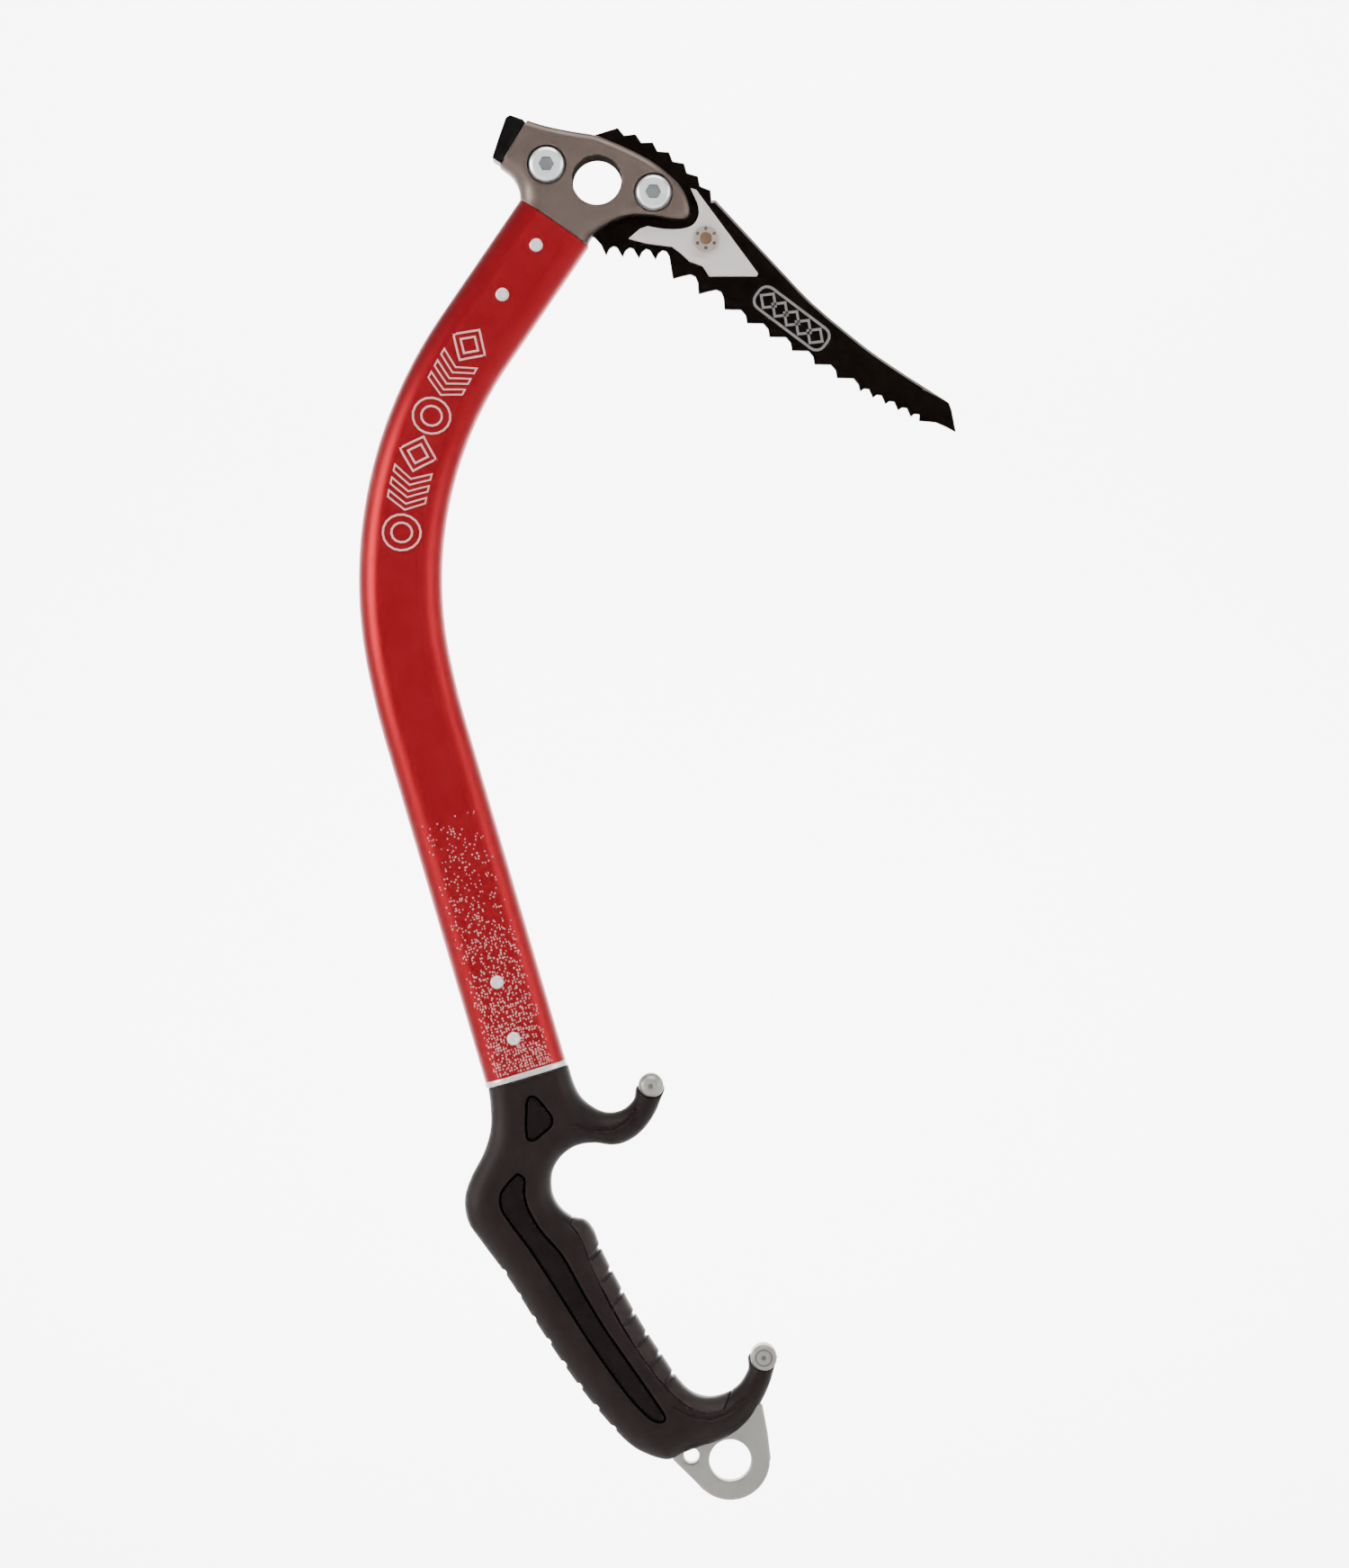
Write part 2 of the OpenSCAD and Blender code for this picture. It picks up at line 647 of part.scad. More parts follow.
shaft();
head();
pick();
hammer();
front_bolt();
rear_bolt();
front_washer();
rear_washer();
front_nut();
rear_nut();
weight_left();
weight_right();
weight_stud();
weight_nut_left();
weight_nut_right();
head_rivets();
handle_rivets();
shaft_collar();
handle_core();
grip_body();
grip_front_ribs();
upper_inlay_left();
upper_inlay_right();
lower_inlay_left();
lower_inlay_right();
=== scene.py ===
"""The look of the ice axe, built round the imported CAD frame. Lengths in this script are millimetres,
in the CAD's own frame, until a mesh is made: then they are metres."""

import math
import random

import bpy
import bmesh
import numpy as np
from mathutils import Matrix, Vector


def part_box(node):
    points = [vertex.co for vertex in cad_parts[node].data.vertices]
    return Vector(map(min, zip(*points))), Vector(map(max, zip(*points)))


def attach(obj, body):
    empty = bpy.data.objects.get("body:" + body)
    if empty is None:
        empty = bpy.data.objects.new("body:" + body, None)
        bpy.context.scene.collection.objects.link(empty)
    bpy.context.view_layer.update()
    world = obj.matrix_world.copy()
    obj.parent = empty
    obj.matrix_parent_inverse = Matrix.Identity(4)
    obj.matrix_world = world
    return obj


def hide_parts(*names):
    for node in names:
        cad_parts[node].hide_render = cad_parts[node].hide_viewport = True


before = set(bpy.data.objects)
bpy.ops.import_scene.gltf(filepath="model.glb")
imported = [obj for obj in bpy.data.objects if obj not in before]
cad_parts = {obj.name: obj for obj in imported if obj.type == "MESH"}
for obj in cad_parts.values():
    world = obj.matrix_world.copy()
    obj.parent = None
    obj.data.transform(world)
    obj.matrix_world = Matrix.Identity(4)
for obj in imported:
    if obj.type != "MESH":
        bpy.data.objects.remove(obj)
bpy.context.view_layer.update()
MM = 0.001


# ---- Places, from the CAD ----


def centre(node):
    """The middle of a CAD node's box, in millimetres."""
    lo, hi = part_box(node)
    return np.array((lo + hi) / 2) / MM


def reach(node):
    """The lowest and the highest corner of a CAD node's box, in millimetres."""
    lo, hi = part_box(node)
    return np.array(lo) / MM, np.array(hi) / MM


FRONT_BOLT = centre("front_bolt")[[0, 2]]
REAR_BOLT = centre("rear_bolt")[[0, 2]]
STUD = centre("weight_stud")[[0, 2]]
GRIP_HALF = reach("grip_body")[1][1]
HEAD_HALF = reach("head")[1][1]
SHAFT_HALF = reach("shaft")[1][1]
CORE_HALF = 4.0
CLIP_HOLE_R = 8.9
BARREL_R = 5.55
COUNTERBORE_R = 7.0
COUNTERBORE_FLOOR = 7.6
EYE = np.array((48.5, -465.4))
EYE_R = 7.6
LUG_R = 14.5
LANYARD = np.array((34.4, -463.7))
LANYARD_R = 2.8
UPPER_TIP, UPPER_TIP_R = np.array((19.6, -329.1)), 4.6
LOWER_TIP, LOWER_TIP_R = np.array((60.7, -427.9)), 4.8
TIP_HALF, TIP_RING_R = 6.5, 2.9

# The shaft's centreline, from the head down: straight, two bends, straight.
SHAFT_TOP = np.array((-15.6, -15.1))
HEAD_TILT = 34.4
TOP_RUN, LOW_RUN = 51.6, 128.0
BENDS = [(154.0, 45.3), (290.0, 5.5)]
SHAFT_W, PANEL_W, SHAFT_WALL = 30.5, 14.5, 1.8
COLLAR_H = 2.2
# Both tangs fit inside the shaft, and each is hollowed from its far end.
TANG_GAP = 0.12
POCKET_W, POCKET_HALF = 8.5, 4.75
# The rivets: how far down from the shaft's top, up from its foot, and behind its centreline.
HEAD_RIVETS, HANDLE_RIVETS, RIVET_BEHIND = (10.75, 32.5), (12.7, 34.0), 0.4
RIVET_HOLE_R = 2.05


def tilted(tilt):
    """(down the shaft, towards its front) at a tilt from the vertical, in degrees."""
    a = math.radians(tilt)
    return np.array((-math.sin(a), -math.cos(a))), np.array((math.cos(a), -math.sin(a)))


def shaft_path():
    """Stretches of the centreline: (start s, length, start point, start tilt, bend radius or None)."""
    stretches, point, tilt, s = [], SHAFT_TOP, HEAD_TILT, 0.0
    for radius, angle in [(None, TOP_RUN)] + BENDS + [(None, LOW_RUN)]:
        down, front = tilted(tilt)
        length = angle if radius is None else radius * math.radians(angle)
        stretches.append((s, length, point, tilt, radius))
        if radius is None:
            point = point + length * down
        else:
            point = point + radius * (front - tilted(tilt - angle)[1])
            tilt -= angle
        s += length
    return stretches, s


SHAFT_STRETCHES, SHAFT_LEN = shaft_path()


def shaft_at(s):
    """(point, tilt) of the centreline at a length s from the head; it runs on straight past both ends."""
    for start, length, point, tilt, radius in SHAFT_STRETCHES:
        if s <= start + length or start + length >= SHAFT_LEN - 1e-6:
            break
    if radius is None:
        return point + (s - start) * tilted(tilt)[0], tilt
    turned = math.degrees((s - start) / radius)
    return point + radius * (tilted(tilt)[1] - tilted(tilt - turned)[1]), tilt - turned


SHAFT_FOOT, FOOT_TILT = shaft_at(SHAFT_LEN)

# ---- Outlines in X and Z, as the CAD has them ----


def spline(points, n=6):
    """A smooth open curve through the points."""
    p = [np.array(q, float) for q in points]
    out = []
    for i in range(len(p) - 1):
        a, b, c, d = p[max(i - 1, 0)], p[i], p[i + 1], p[min(i + 2, len(p) - 1)]
        for k in range(n):
            t = k / n
            out.append(
                b + (c - a) * t / 2 + (2 * a - 5 * b + 4 * c - d) * t * t / 2
                + (3 * b - a - 3 * c + d) * t ** 3 / 2
            )
    return out + [p[-1]]


def ribbon(stations):
    """A band along stations of (x, z, half width)."""
    p = np.array(stations, float)
    d = np.gradient(p[:, :2], axis=0)
    side = np.stack((-d[:, 1], d[:, 0]), 1) / np.linalg.norm(d, axis=1)[:, None] * p[:, 2:]
    return list(p[:, :2] + side) + list((p[:, :2] - side)[::-1])


GRIP = spline([
    (-42.7, -319.4), (-39.8, -329.7), (-38.8, -337.4), (-38.9, -345.2), (-41.4, -353.7), (-45.9, -362.4),
    (-48.2, -370.4), (-46.9, -378.7), (-41.9, -386.1), (-32.3, -399.2), (-20.3, -418.2), (-8.7, -435.5),
    (2.7, -449.9), (13.2, -460.5), (24.7, -465.1), (31.2, -462.8), (37.7, -460.3), (43.1, -458.7),
    (48.7, -456.1), (54.3, -451.7), (58.7, -446.3), (62.4, -439.1), (64.6, -431.9), (65.3, -426.9),
    (55.7, -426.9), (55, -432.5), (51.7, -437.9), (46.7, -441.2), (40.7, -442.5), (34.7, -440.8),
    (29.7, -436.1), (24.7, -428.9), (15.7, -415.1), (6.9, -399.3), (1.3, -388.2), (-1.1, -381.9),
    (-4.3, -378.1), (-8.9, -376.9), (-13.5, -373.3), (-16.3, -367.9), (-16.3, -360.9), (-13.3, -355.1),
    (-7.9, -351.1), (-1.3, -349.9), (5.7, -350.7), (11.3, -349.3), (16.3, -345.7), (20.3, -340.5),
    (22.9, -334.9), (24.2, -328.9), (15, -328.9), (13.3, -334.1), (9.5, -337.7), (4.5, -338.9),
    (-0.3, -337.5), (-5.1, -334), (-8.2, -329), (-10.6, -321.5), (-13.5, -311.7)
])
STRIP = spline([
    (-9.8, -378.9), (-5.9, -383.9), (-2.5, -392.9), (1.6, -401.9), (7.3, -412.9), (13.3, -422.5),
    (19.5, -431.3), (25.7, -438.9), (32.7, -444.9), (39.3, -447.5), (45.7, -446.7)
]) + [(51.7, -434.9), (29.7, -418.9), (9.7, -378.9), (-6.3, -370.9)]
UPPER_INLAY = spline([
    (-25.3, -335.5), (-24.4, -333.1), (-22.3, -333.2), (-19.4, -336.2), (-16.6, -340.2), (-16.8, -343),
    (-19.8, -345.8), (-22.6, -348), (-24.8, -347.8), (-25.4, -344.8), (-25.4, -340), (-25.3, -335.5)
])
LOWER_INLAY = spline([
    (-28.7, -360.9), (-31.7, -363.9), (-34.5, -368), (-34.3, -373.2), (-30.5, -379.2), (-23, -389.3),
    (-13.6, -403.8), (-2.5, -421.3), (9.8, -438.6), (17.4, -447.2), (22.1, -450.4), (24.6, -449.2),
    (21.5, -444), (14, -433.1), (3.3, -417.8), (-4.9, -404.4), (-12.6, -390.7), (-20.8, -381),
    (-25.4, -372.8), (-26.5, -367.4), (-26.5, -362.7), (-28.7, -360.9)
])
CORE_MAIN = ribbon([
    (-28.3, -314.9, 10), (-25.3, -328.9, 10), (-25.8, -340.9, 9.5), (-28.8, -353.9, 9),
    (-31.8, -364.9, 9.5), (-30.8, -373.9, 10.5), (-24.3, -384.9, 11), (-14.3, -399.9, 11),
    (-0.3, -419.9, 10.5), (13.7, -437.9, 10), (25.7, -448.9, 8.5), (36.7, -451.9, 6), (46.2, -449.9, 4.6),
    (53.2, -444.5, 4), (57.9, -437.9, 3.2), (60.3, -430.9, 3), (60.7, -427.9, 3)
])
CORE_HORN = ribbon([
    (-24.3, -339.9, 6), (-12.3, -341.4, 5), (-4.3, -343.5, 4.2), (3.7, -345.1, 3.5), (10.1, -343.7, 3.2),
    (15.5, -339.3, 3), (18.7, -333.7, 2.8), (19.6, -329.1, 2.8)
])
LUG = [
    (23.7, -455.9), (27.9, -465.5), (38.55, -475.85), (48.5, -465.4), (63.3, -465.1), (62.3, -455.9),
    (60.3, -445.3), (54.7, -442.9), (39.7, -452.9)
]
# The head's outline runs on past the joint with the hammer and past the shaft's end, where planes cut it.
CHEEK_LOW, CHEEK_HIGH = np.array((-35, 6.3)), np.array((-25.9, 21))
TOP_DOWN, TOP_FRONT = tilted(HEAD_TILT)
NECK_END, NECK_HALF = SHAFT_TOP + 16 * TOP_DOWN, 15.0
HEAD = (
    [(-46.3, 13.1), (-36.3, 29.1)]
    + spline([
        (-29.3, 23.5), (-22.8, 21.1), (-16.6, 19.4), (-7.9, 17.7), (-1.1, 16.6), (5.9, 14), (12.8, 10.9),
        (19.8, 7.1), (25.7, 2.7), (30.3, -1.7), (33, -6.9), (33.9, -11.3), (32.3, -13.7), (27.7, -13.9),
        (19.8, -12.6), (12.7, -12.5), (6.9, -14), (2.1, -16.7), (-1.7, -19.7),
        tuple(SHAFT_TOP + 1.2 * TOP_DOWN + NECK_HALF * TOP_FRONT)
    ])
    + [
        tuple(NECK_END + NECK_HALF * TOP_FRONT), tuple(NECK_END - NECK_HALF * TOP_FRONT),
        tuple(SHAFT_TOP - NECK_HALF * TOP_FRONT)
    ]
    + spline([(-28.2, -4.1), (-29.2, -1.1), (-31.9, 2.6), (-37.5, 6.8)])
)
PICK_SLOT = [
    (-45.3, 6.1), (-30.3, 2.6), (-26.5, -2.1), (-19.5, -3.2), (-13, -8.3), (-4.5, -19.3), (-0.3, -22.9),
    (59.7, -22.9), (59.7, 41.1), (-45.3, 41.1)
]
EARS = [(-34.7, 7.7), (-26.7, 21.7), (-19.9, 14.3), (-21.7, 0.3)]
EAR_R = 7.8
SLOT_HALF, EARS_HALF = 2.05, 5.05

# ---- Distance fields ----


def polygon_distance(outline, x, z):
    """Distance from points to a closed outline, negative inside."""
    x, z = np.broadcast_arrays(np.asarray(x, float), np.asarray(z, float))
    near, inside = np.full(x.shape, 1e18), np.zeros(x.shape, bool)
    p = np.array(outline, float)
    for (ax, az), (bx, bz) in zip(p, np.roll(p, -1, 0)):
        ex, ez = bx - ax, bz - az
        size = ex * ex + ez * ez
        if size < 1e-12:
            continue
        t = np.clip(((x - ax) * ex + (z - az) * ez) / size, 0, 1)
        near = np.minimum(near, (x - ax - t * ex) ** 2 + (z - az - t * ez) ** 2)
        crosses = (az > z) != (bz > z)
        if crosses.any():
            inside ^= crosses & (x < ax + (z - az) * ex / (ez if ez else 1e-12))
    return np.where(inside, -1, 1) * np.sqrt(near)


class Field:
    """An outline's distance, sampled on a fine grid and read back between the samples."""

    def __init__(self, outline, step=0.3, margin=8.0, soften=0.0):
        p = np.array(outline, float)
        self.lo, self.step = p.min(0) - margin, step
        self.count = np.ceil((p.max(0) + margin - self.lo) / step).astype(int) + 1
        x = self.lo[0] + step * np.arange(self.count[0])[:, None]
        z = self.lo[1] + step * np.arange(self.count[1])[None, :]
        self.values = polygon_distance(p, x, z)
        if soften:
            self.soften(soften)

    def soften(self, spread):
        """Rounds the ridge down the middle of the shape, and leaves its edge alone."""
        out = int(3 * spread / self.step)
        k = np.exp(-0.5 * (np.arange(-out, out + 1) * self.step / spread) ** 2)
        k /= k.sum()

        def blurred(line):
            return np.convolve(np.pad(line, out, mode="edge"), k, "valid")

        soft = self.values
        for axis in (0, 1):
            soft = np.apply_along_axis(blurred, axis, soft)
        depth = np.clip((-self.values - 1.0) / 2.5, 0, 1)
        depth = depth * depth * (3 - 2 * depth)
        self.values = self.values * (1 - depth) + soft * depth

    def __call__(self, x, z):
        u = np.clip((x - self.lo[0]) / self.step, 0, self.count[0] - 1.001)
        v = np.clip((z - self.lo[1]) / self.step, 0, self.count[1] - 1.001)
        i, j = u.astype(int), v.astype(int)
        u, v = u - i, v - j
        f = self.values
        return (
            f[i, j] * (1 - u) * (1 - v) + f[i + 1, j] * u * (1 - v)
            + f[i, j + 1] * (1 - u) * v + f[i + 1, j + 1] * u * v
        )


def rounded_plate(d, y, half, r):
    """A flat plate with a 2D outline distance d and edges rounded to radius r."""
    qx, qy = d + r, np.abs(y) - half + r
    return np.hypot(np.maximum(qx, 0), np.maximum(qy, 0)) + np.minimum(np.maximum(qx, qy), 0) - r


def smooth_max(a, b, k):
    h = np.clip(0.5 + 0.5 * (a - b) / k, 0, 1)
    return a * h + b * (1 - h) + k * h * (1 - h)


def smooth_min(a, b, k):
    return -smooth_max(-a, -b, k)


def disc(x, z, at, r):
    return np.hypot(x - at[0], z - at[1]) - r


def line_distance(x, z, a, b):
    """Distance to the stretch from a to b."""
    ex, ez = b[0] - a[0], b[1] - a[1]
    t = np.clip(((x - a[0]) * ex + (z - a[1]) * ez) / (ex * ex + ez * ez), 0, 1)
    return np.hypot(x - a[0] - t * ex, z - a[1] - t * ez)


def smooth_step(a, b, v):
    t = np.clip((v - a) / (b - a), 0, 1)
    return t * t * (3 - 2 * t)


def along_shaft(x, z, origin, tilt):
    """(length down the shaft, distance to its front) of points, from an origin on its centreline."""
    down, front = tilted(tilt)
    dx, dz = x - origin[0], z - origin[1]
    return dx * down[0] + dz * down[1], dx * front[0] + dz * front[1]


def flank_circle():
    """(radius, how far its centre lies in front of the centreline) of the shaft's round nose."""
    flank = (SHAFT_W - PANEL_W) / 2
    r = (flank * flank + SHAFT_HALF * SHAFT_HALF) / (2 * flank)
    return r, SHAFT_W / 2 - r


def section_distance(w, y, grow=0.0):
    """Distance to the shaft's section: flat panels between a round nose and back."""
    r, off = flank_circle()
    over = np.maximum(np.abs(w) - off, 0)
    return np.maximum(np.hypot(over, y) - r - grow, np.abs(y) - SHAFT_HALF - grow)


def tang_distance(front, y):
    return section_distance(front, y, -SHAFT_WALL - TANG_GAP)


def pocket_distance(front, side):
    """Distance to the hollow down the middle of a tang, before its end is cut."""
    return np.maximum(np.abs(front) - POCKET_W, side - POCKET_HALF)


# ---- Meshes ----


def surface_net(solid, lo, hi, step):
    """(vertices, quads) of the surface where solid(x, y, z) is zero: one vertex in each cell that
    the surface crosses, and one quad round each crossed edge of the grid."""
    lo = np.array(lo, float)
    n = np.ceil((np.array(hi, float) - lo) / step).astype(int) + 1
    x, y, z = (lo[a] + step * np.arange(n[a]) for a in range(3))
    f = solid(x[:, None, None], y[None, :, None], z[None, None, :]).astype(np.float32)
    f = np.broadcast_to(f, tuple(n))
    inside = f < 0
    unit = np.eye(3, dtype=int)
    corners = [(i, j, k) for i in (0, 1) for j in (0, 1) for k in (0, 1)]
    held = sum(
        inside[i:n[0] - 1 + i, j:n[1] - 1 + j, k:n[2] - 1 + k].astype(np.int8) for i, j, k in corners
    )
    cells = np.argwhere((held > 0) & (held < 8))
    number = np.full(tuple(n - 1), -1, np.int64)
    number[tuple(cells.T)] = np.arange(len(cells))
    total, crossed = np.zeros((len(cells), 3)), np.zeros(len(cells))
    for c in corners:
        for axis in range(3):
            if c[axis]:
                continue
            a = cells + c
            b = a + unit[axis]
            fa, fb = f[tuple(a.T)], f[tuple(b.T)]
            cut = (fa < 0) != (fb < 0)
            t = np.where(cut, fa / np.where(cut, fa - fb, 1), 0)
            point = a.astype(float)
            point[:, axis] += t
            total += point * cut[:, None]
            crossed += cut
    verts = lo + step * total / crossed[:, None]
    quads = []
    for axis in range(3):
        u, v = (axis + 1) % 3, (axis + 2) % 3
        size = n - unit[axis]
        starts = inside[tuple(slice(0, s) for s in size)]
        ends = inside[tuple(slice(o, s + o) for o, s in zip(unit[axis], size))]
        here = np.argwhere(starts != ends)
        for w in (u, v):
            here = here[(here[:, w] > 0) & (here[:, w] < n[w] - 1)]
        ring = [number[tuple((here - o).T)] for o in (unit[u] * 0, unit[u], unit[u] + unit[v], unit[v])]
        q = np.stack(ring, 1)
        flip = ~inside[tuple(here.T)]
        q[flip] = q[flip][:, ::-1]
        quads.append(q)
    return verts, np.concatenate(quads)


def settle(solid, verts, step, rounds=3):
    """Moves vertices onto the surface along its gradient."""
    e = 0.05
    for _ in range(rounds):
        x, y, z = verts.T
        d = solid(x, y, z)
        g = np.stack((
            solid(x + e, y, z) - solid(x - e, y, z),
            solid(x, y + e, z) - solid(x, y - e, z),
            solid(x, y, z + e) - solid(x, y, z - e),
        ), 1) / (2 * e)
        size = np.maximum(np.linalg.norm(g, axis=1), 0.3)
        move = np.clip(d / size, -0.4 * step, 0.4 * step)
        verts = verts - g / size[:, None] * move[:, None]
    return verts


def new_piece(name, verts, faces, material, crease=40):
    """A mesh piece from points in millimetres."""
    mesh = bpy.data.meshes.new(name)
    points = [tuple(v) for v in np.asarray(verts) * MM]
    mesh.from_pydata(points, [], [tuple(int(i) for i in f) for f in faces])
    return finish_piece(name, mesh, material, crease)


def finish_piece(name, mesh, material, crease):
    mesh.validate()
    mesh.polygons.foreach_set("use_smooth", [True] * len(mesh.polygons))
    mesh.set_sharp_from_angle(angle=math.radians(crease))
    mesh.materials.append(material)
    piece = bpy.data.objects.new(name, mesh)
    bpy.context.scene.collection.objects.link(piece)
    return piece


def carved(node, name, solid, step, material, slot, out=1.0):
    """A piece carved from a distance field in and round a CAD node's box, which stands for the node."""
    lo, hi = reach(node)
    verts, quads = surface_net(solid, lo - out, hi + out, step)
    piece = new_piece(name, settle(solid, verts, step), quads, material, 45)
    return stands_for(piece, "axe", slot, node)


def face_outwards(piece):
    bm = bmesh.new()
    bm.from_mesh(piece.data)
    bmesh.ops.recalc_face_normals(bm, faces=bm.faces)
    bm.to_mesh(piece.data)
    bm.free()


def paint_faces(piece, material, wanted):
    """Gives another material to the faces that wanted(centres, normals) picks. Both are arrays of
    three rows, with the centres in millimetres."""
    piece.data.materials.append(material)
    faces = piece.data.polygons
    centres, normals = np.empty(3 * len(faces)), np.empty(3 * len(faces))
    faces.foreach_get("center", centres)
    faces.foreach_get("normal", normals)
    index = np.empty(len(faces), np.int32)
    faces.foreach_get("material_index", index)
    picked = wanted(centres.reshape(-1, 3).T / MM, normals.reshape(-1, 3).T)
    index[picked] = len(piece.data.materials) - 1
    faces.foreach_set("material_index", index)


def refined(node, name, material, width, segments=2, angle=25, body="axe", slot=None, first=None):
    """A cleaned copy of a CAD node with its edges bevelled, which stands for the node.
    A first bevel, given as (width in mm, which edges by their middle), is cut before the rest."""
    bm = bmesh.new()
    bm.from_mesh(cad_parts[node].data)
    bmesh.ops.remove_doubles(bm, verts=bm.verts, dist=2e-6)
    bmesh.ops.dissolve_limit(bm, angle_limit=math.radians(0.6), verts=bm.verts, edges=bm.edges)
    if first:
        wide, chosen = first
        edges = [
            e for e in sharp_edges(bm, 60) if chosen((e.verts[0].co + e.verts[1].co) / 2 / MM, e)
        ]
        bmesh.ops.bevel(bm, geom=edges, offset=wide * MM, segments=1, affect="EDGES", clamp_overlap=True)
    bmesh.ops.bevel(
        bm, geom=sharp_edges(bm, angle), offset=width * MM, segments=segments, profile=0.5, affect="EDGES",
        clamp_overlap=True
    )
    mesh = bpy.data.meshes.new(name)
    bm.to_mesh(mesh)
    bm.free()
    piece = finish_piece(name, mesh, material, 35)
    return stands_for(piece, body, slot, node)


def sharp_edges(bm, angle):
    return [e for e in bm.edges if e.is_manifold and e.calc_face_angle(0) > math.radians(angle)]


def stands_for(piece, body, slot, *nodes):
    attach(piece, body)
    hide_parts(*nodes)
    return piece


# ---- Materials ----


class Nodes:
    """A material's node tree, with short calls for the nodes used here."""

    def __init__(self, name, colour, metallic, roughness):
        self.material = bpy.data.materials.new(name)
        self.material.use_nodes = True
        self.tree = self.material.node_tree
        self.shader = self.tree.nodes["Principled BSDF"]
        self.place = self.add("ShaderNodeTexCoord").outputs["Object"]
        self.set(self.shader, "Base Color", (*colour, 1))
        self.set(self.shader, "Metallic", metallic)
        self.set(self.shader, "Roughness", roughness)

    def add(self, kind, **values):
        node = self.tree.nodes.new(kind)
        for key, value in values.items():
            setattr(node, key, value)
        return node

    def set(self, node, socket, value):
        if isinstance(value, bpy.types.NodeSocket):
            self.tree.links.new(value, node.inputs[socket])
        else:
            node.inputs[socket].default_value = value

    def noise(self, scale, detail=3, roughness=0.5, stretch=None):
        """Noise with features about 1 / scale millimetres across."""
        where = self.place
        if stretch:
            m = self.add("ShaderNodeMapping")
            self.set(m, "Vector", where)
            m.inputs["Rotation"].default_value = stretch[0]
            m.inputs["Scale"].default_value = stretch[1]
            where = m.outputs["Vector"]
        n = self.add("ShaderNodeTexNoise")
        self.set(n, "Vector", where)
        self.set(n, "Scale", scale / MM)
        self.set(n, "Detail", detail)
        self.set(n, "Roughness", roughness)
        return n.outputs["Fac"]

    def ramp(self, value, low, high, at=(0.3, 0.7)):
        """Maps a value in at[0]..at[1] to low..high."""
        m = self.add("ShaderNodeMapRange")
        self.set(m, "Value", value)
        for socket, number in zip(("From Min", "From Max", "To Min", "To Max"), (*at, low, high)):
            self.set(m, socket, number)
        return m.outputs["Result"]

    def blend(self, value, a, b):
        """Mixes colour a to colour b."""
        m = self.add("ShaderNodeMix", data_type="RGBA")
        self.set(m, 0, value)
        m.inputs[6].default_value = (*a, 1)
        if isinstance(b, bpy.types.NodeSocket):
            self.tree.links.new(b, m.inputs[7])
        else:
            m.inputs[7].default_value = (*b, 1)
        return m.outputs[2]

    def bump(self, height, depth):
        """Adds relief about depth millimetres deep."""
        b = self.add("ShaderNodeBump")
        b.inputs["Strength"].default_value = 1.0
        b.inputs["Distance"].default_value = depth * MM
        self.set(b, "Height", height)
        if self.shader.inputs["Normal"].is_linked:
            self.tree.links.new(self.shader.inputs["Normal"].links[0].from_socket, b.inputs["Normal"])
        self.set(self.shader, "Normal", b.outputs["Normal"])


def satin_metal(name, colour, roughness, grain=1.2, depth=0.006, spread=0.12, metallic=1.0):
    """Blasted or anodised metal: fine grain, soft cloudy wear in its gloss and colour."""
    n = Nodes(name, colour, metallic, roughness)
    cloud = n.ramp(n.noise(0.035, 4, 0.6), 0, 1)
    dark, light = (tuple(min(c * (1 + s), 1) for c in colour) for s in (-spread, spread))
    n.set(n.shader, "Base Color", n.blend(cloud, dark, light))
    n.set(n.shader, "Roughness", n.ramp(n.noise(0.25, 4, 0.65), roughness * 0.86, roughness * 1.14))
    n.bump(n.noise(grain, 3, 0.6), depth)
    return n.material


def shaft_red():
    """Red anodising over drawn tube."""
    n = Nodes("shaft_red", (0.315, 0.0115, 0.018), 0.97, 0.34)
    drawn = n.ramp(n.noise(0.05, 4, 0.6), 0, 1)
    n.set(n.shader, "Base Color", n.blend(drawn, (0.303, 0.0105, 0.016), (0.327, 0.0125, 0.0195)))
    n.set(n.shader, "Roughness", n.ramp(n.noise(0.3, 4, 0.7), 0.32, 0.37))
    n.bump(n.noise(1.6, 2, 0.6), 0.004)
    return n.material


def rubber(name, colour, roughness, grain=1.4, depth=0.03, specular=0.2):
    """Moulded rubber: a fine pebbled grain, and faint scuffs that lighten it."""
    n = Nodes(name, colour, 0.0, roughness)
    scuff = n.noise(0.12, 5, 0.7)
    paler = tuple(c * 1.45 for c in colour)
    n.set(n.shader, "Base Color", n.blend(n.ramp(scuff, 0, 1, (0.45, 0.75)), colour, paler))
    n.set(n.shader, "Roughness", n.ramp(scuff, roughness * 0.92, roughness * 1.1))
    n.set(n.shader, "Specular IOR Level", specular)
    n.set(n.shader, "Specular Tint", (1.0, 0.8, 0.8, 1))
    n.bump(n.noise(grain, 2, 0.5), depth)
    n.bump(n.noise(0.2, 3, 0.5), depth)
    return n.material


def black_steel(name, colour, roughness):
    """Black oxide on ground steel: grinding lines show faintly through it."""
    n = Nodes(name, colour, 0.85, roughness)
    n.set(n.shader, "Specular IOR Level", 0.18)
    lines = n.noise(0.5, 4, 0.7, ((0, math.radians(-40), 0), (0.06, 1, 1)))
    worn = n.noise(0.1, 5, 0.7)
    paler = tuple(c * 1.8 for c in colour)
    n.set(n.shader, "Base Color", n.blend(n.ramp(worn, 0, 1, (0.4, 0.8)), colour, paler))
    n.set(n.shader, "Roughness", n.ramp(lines, roughness * 0.8, roughness * 1.2))
    n.bump(lines, 0.01)
    return n.material


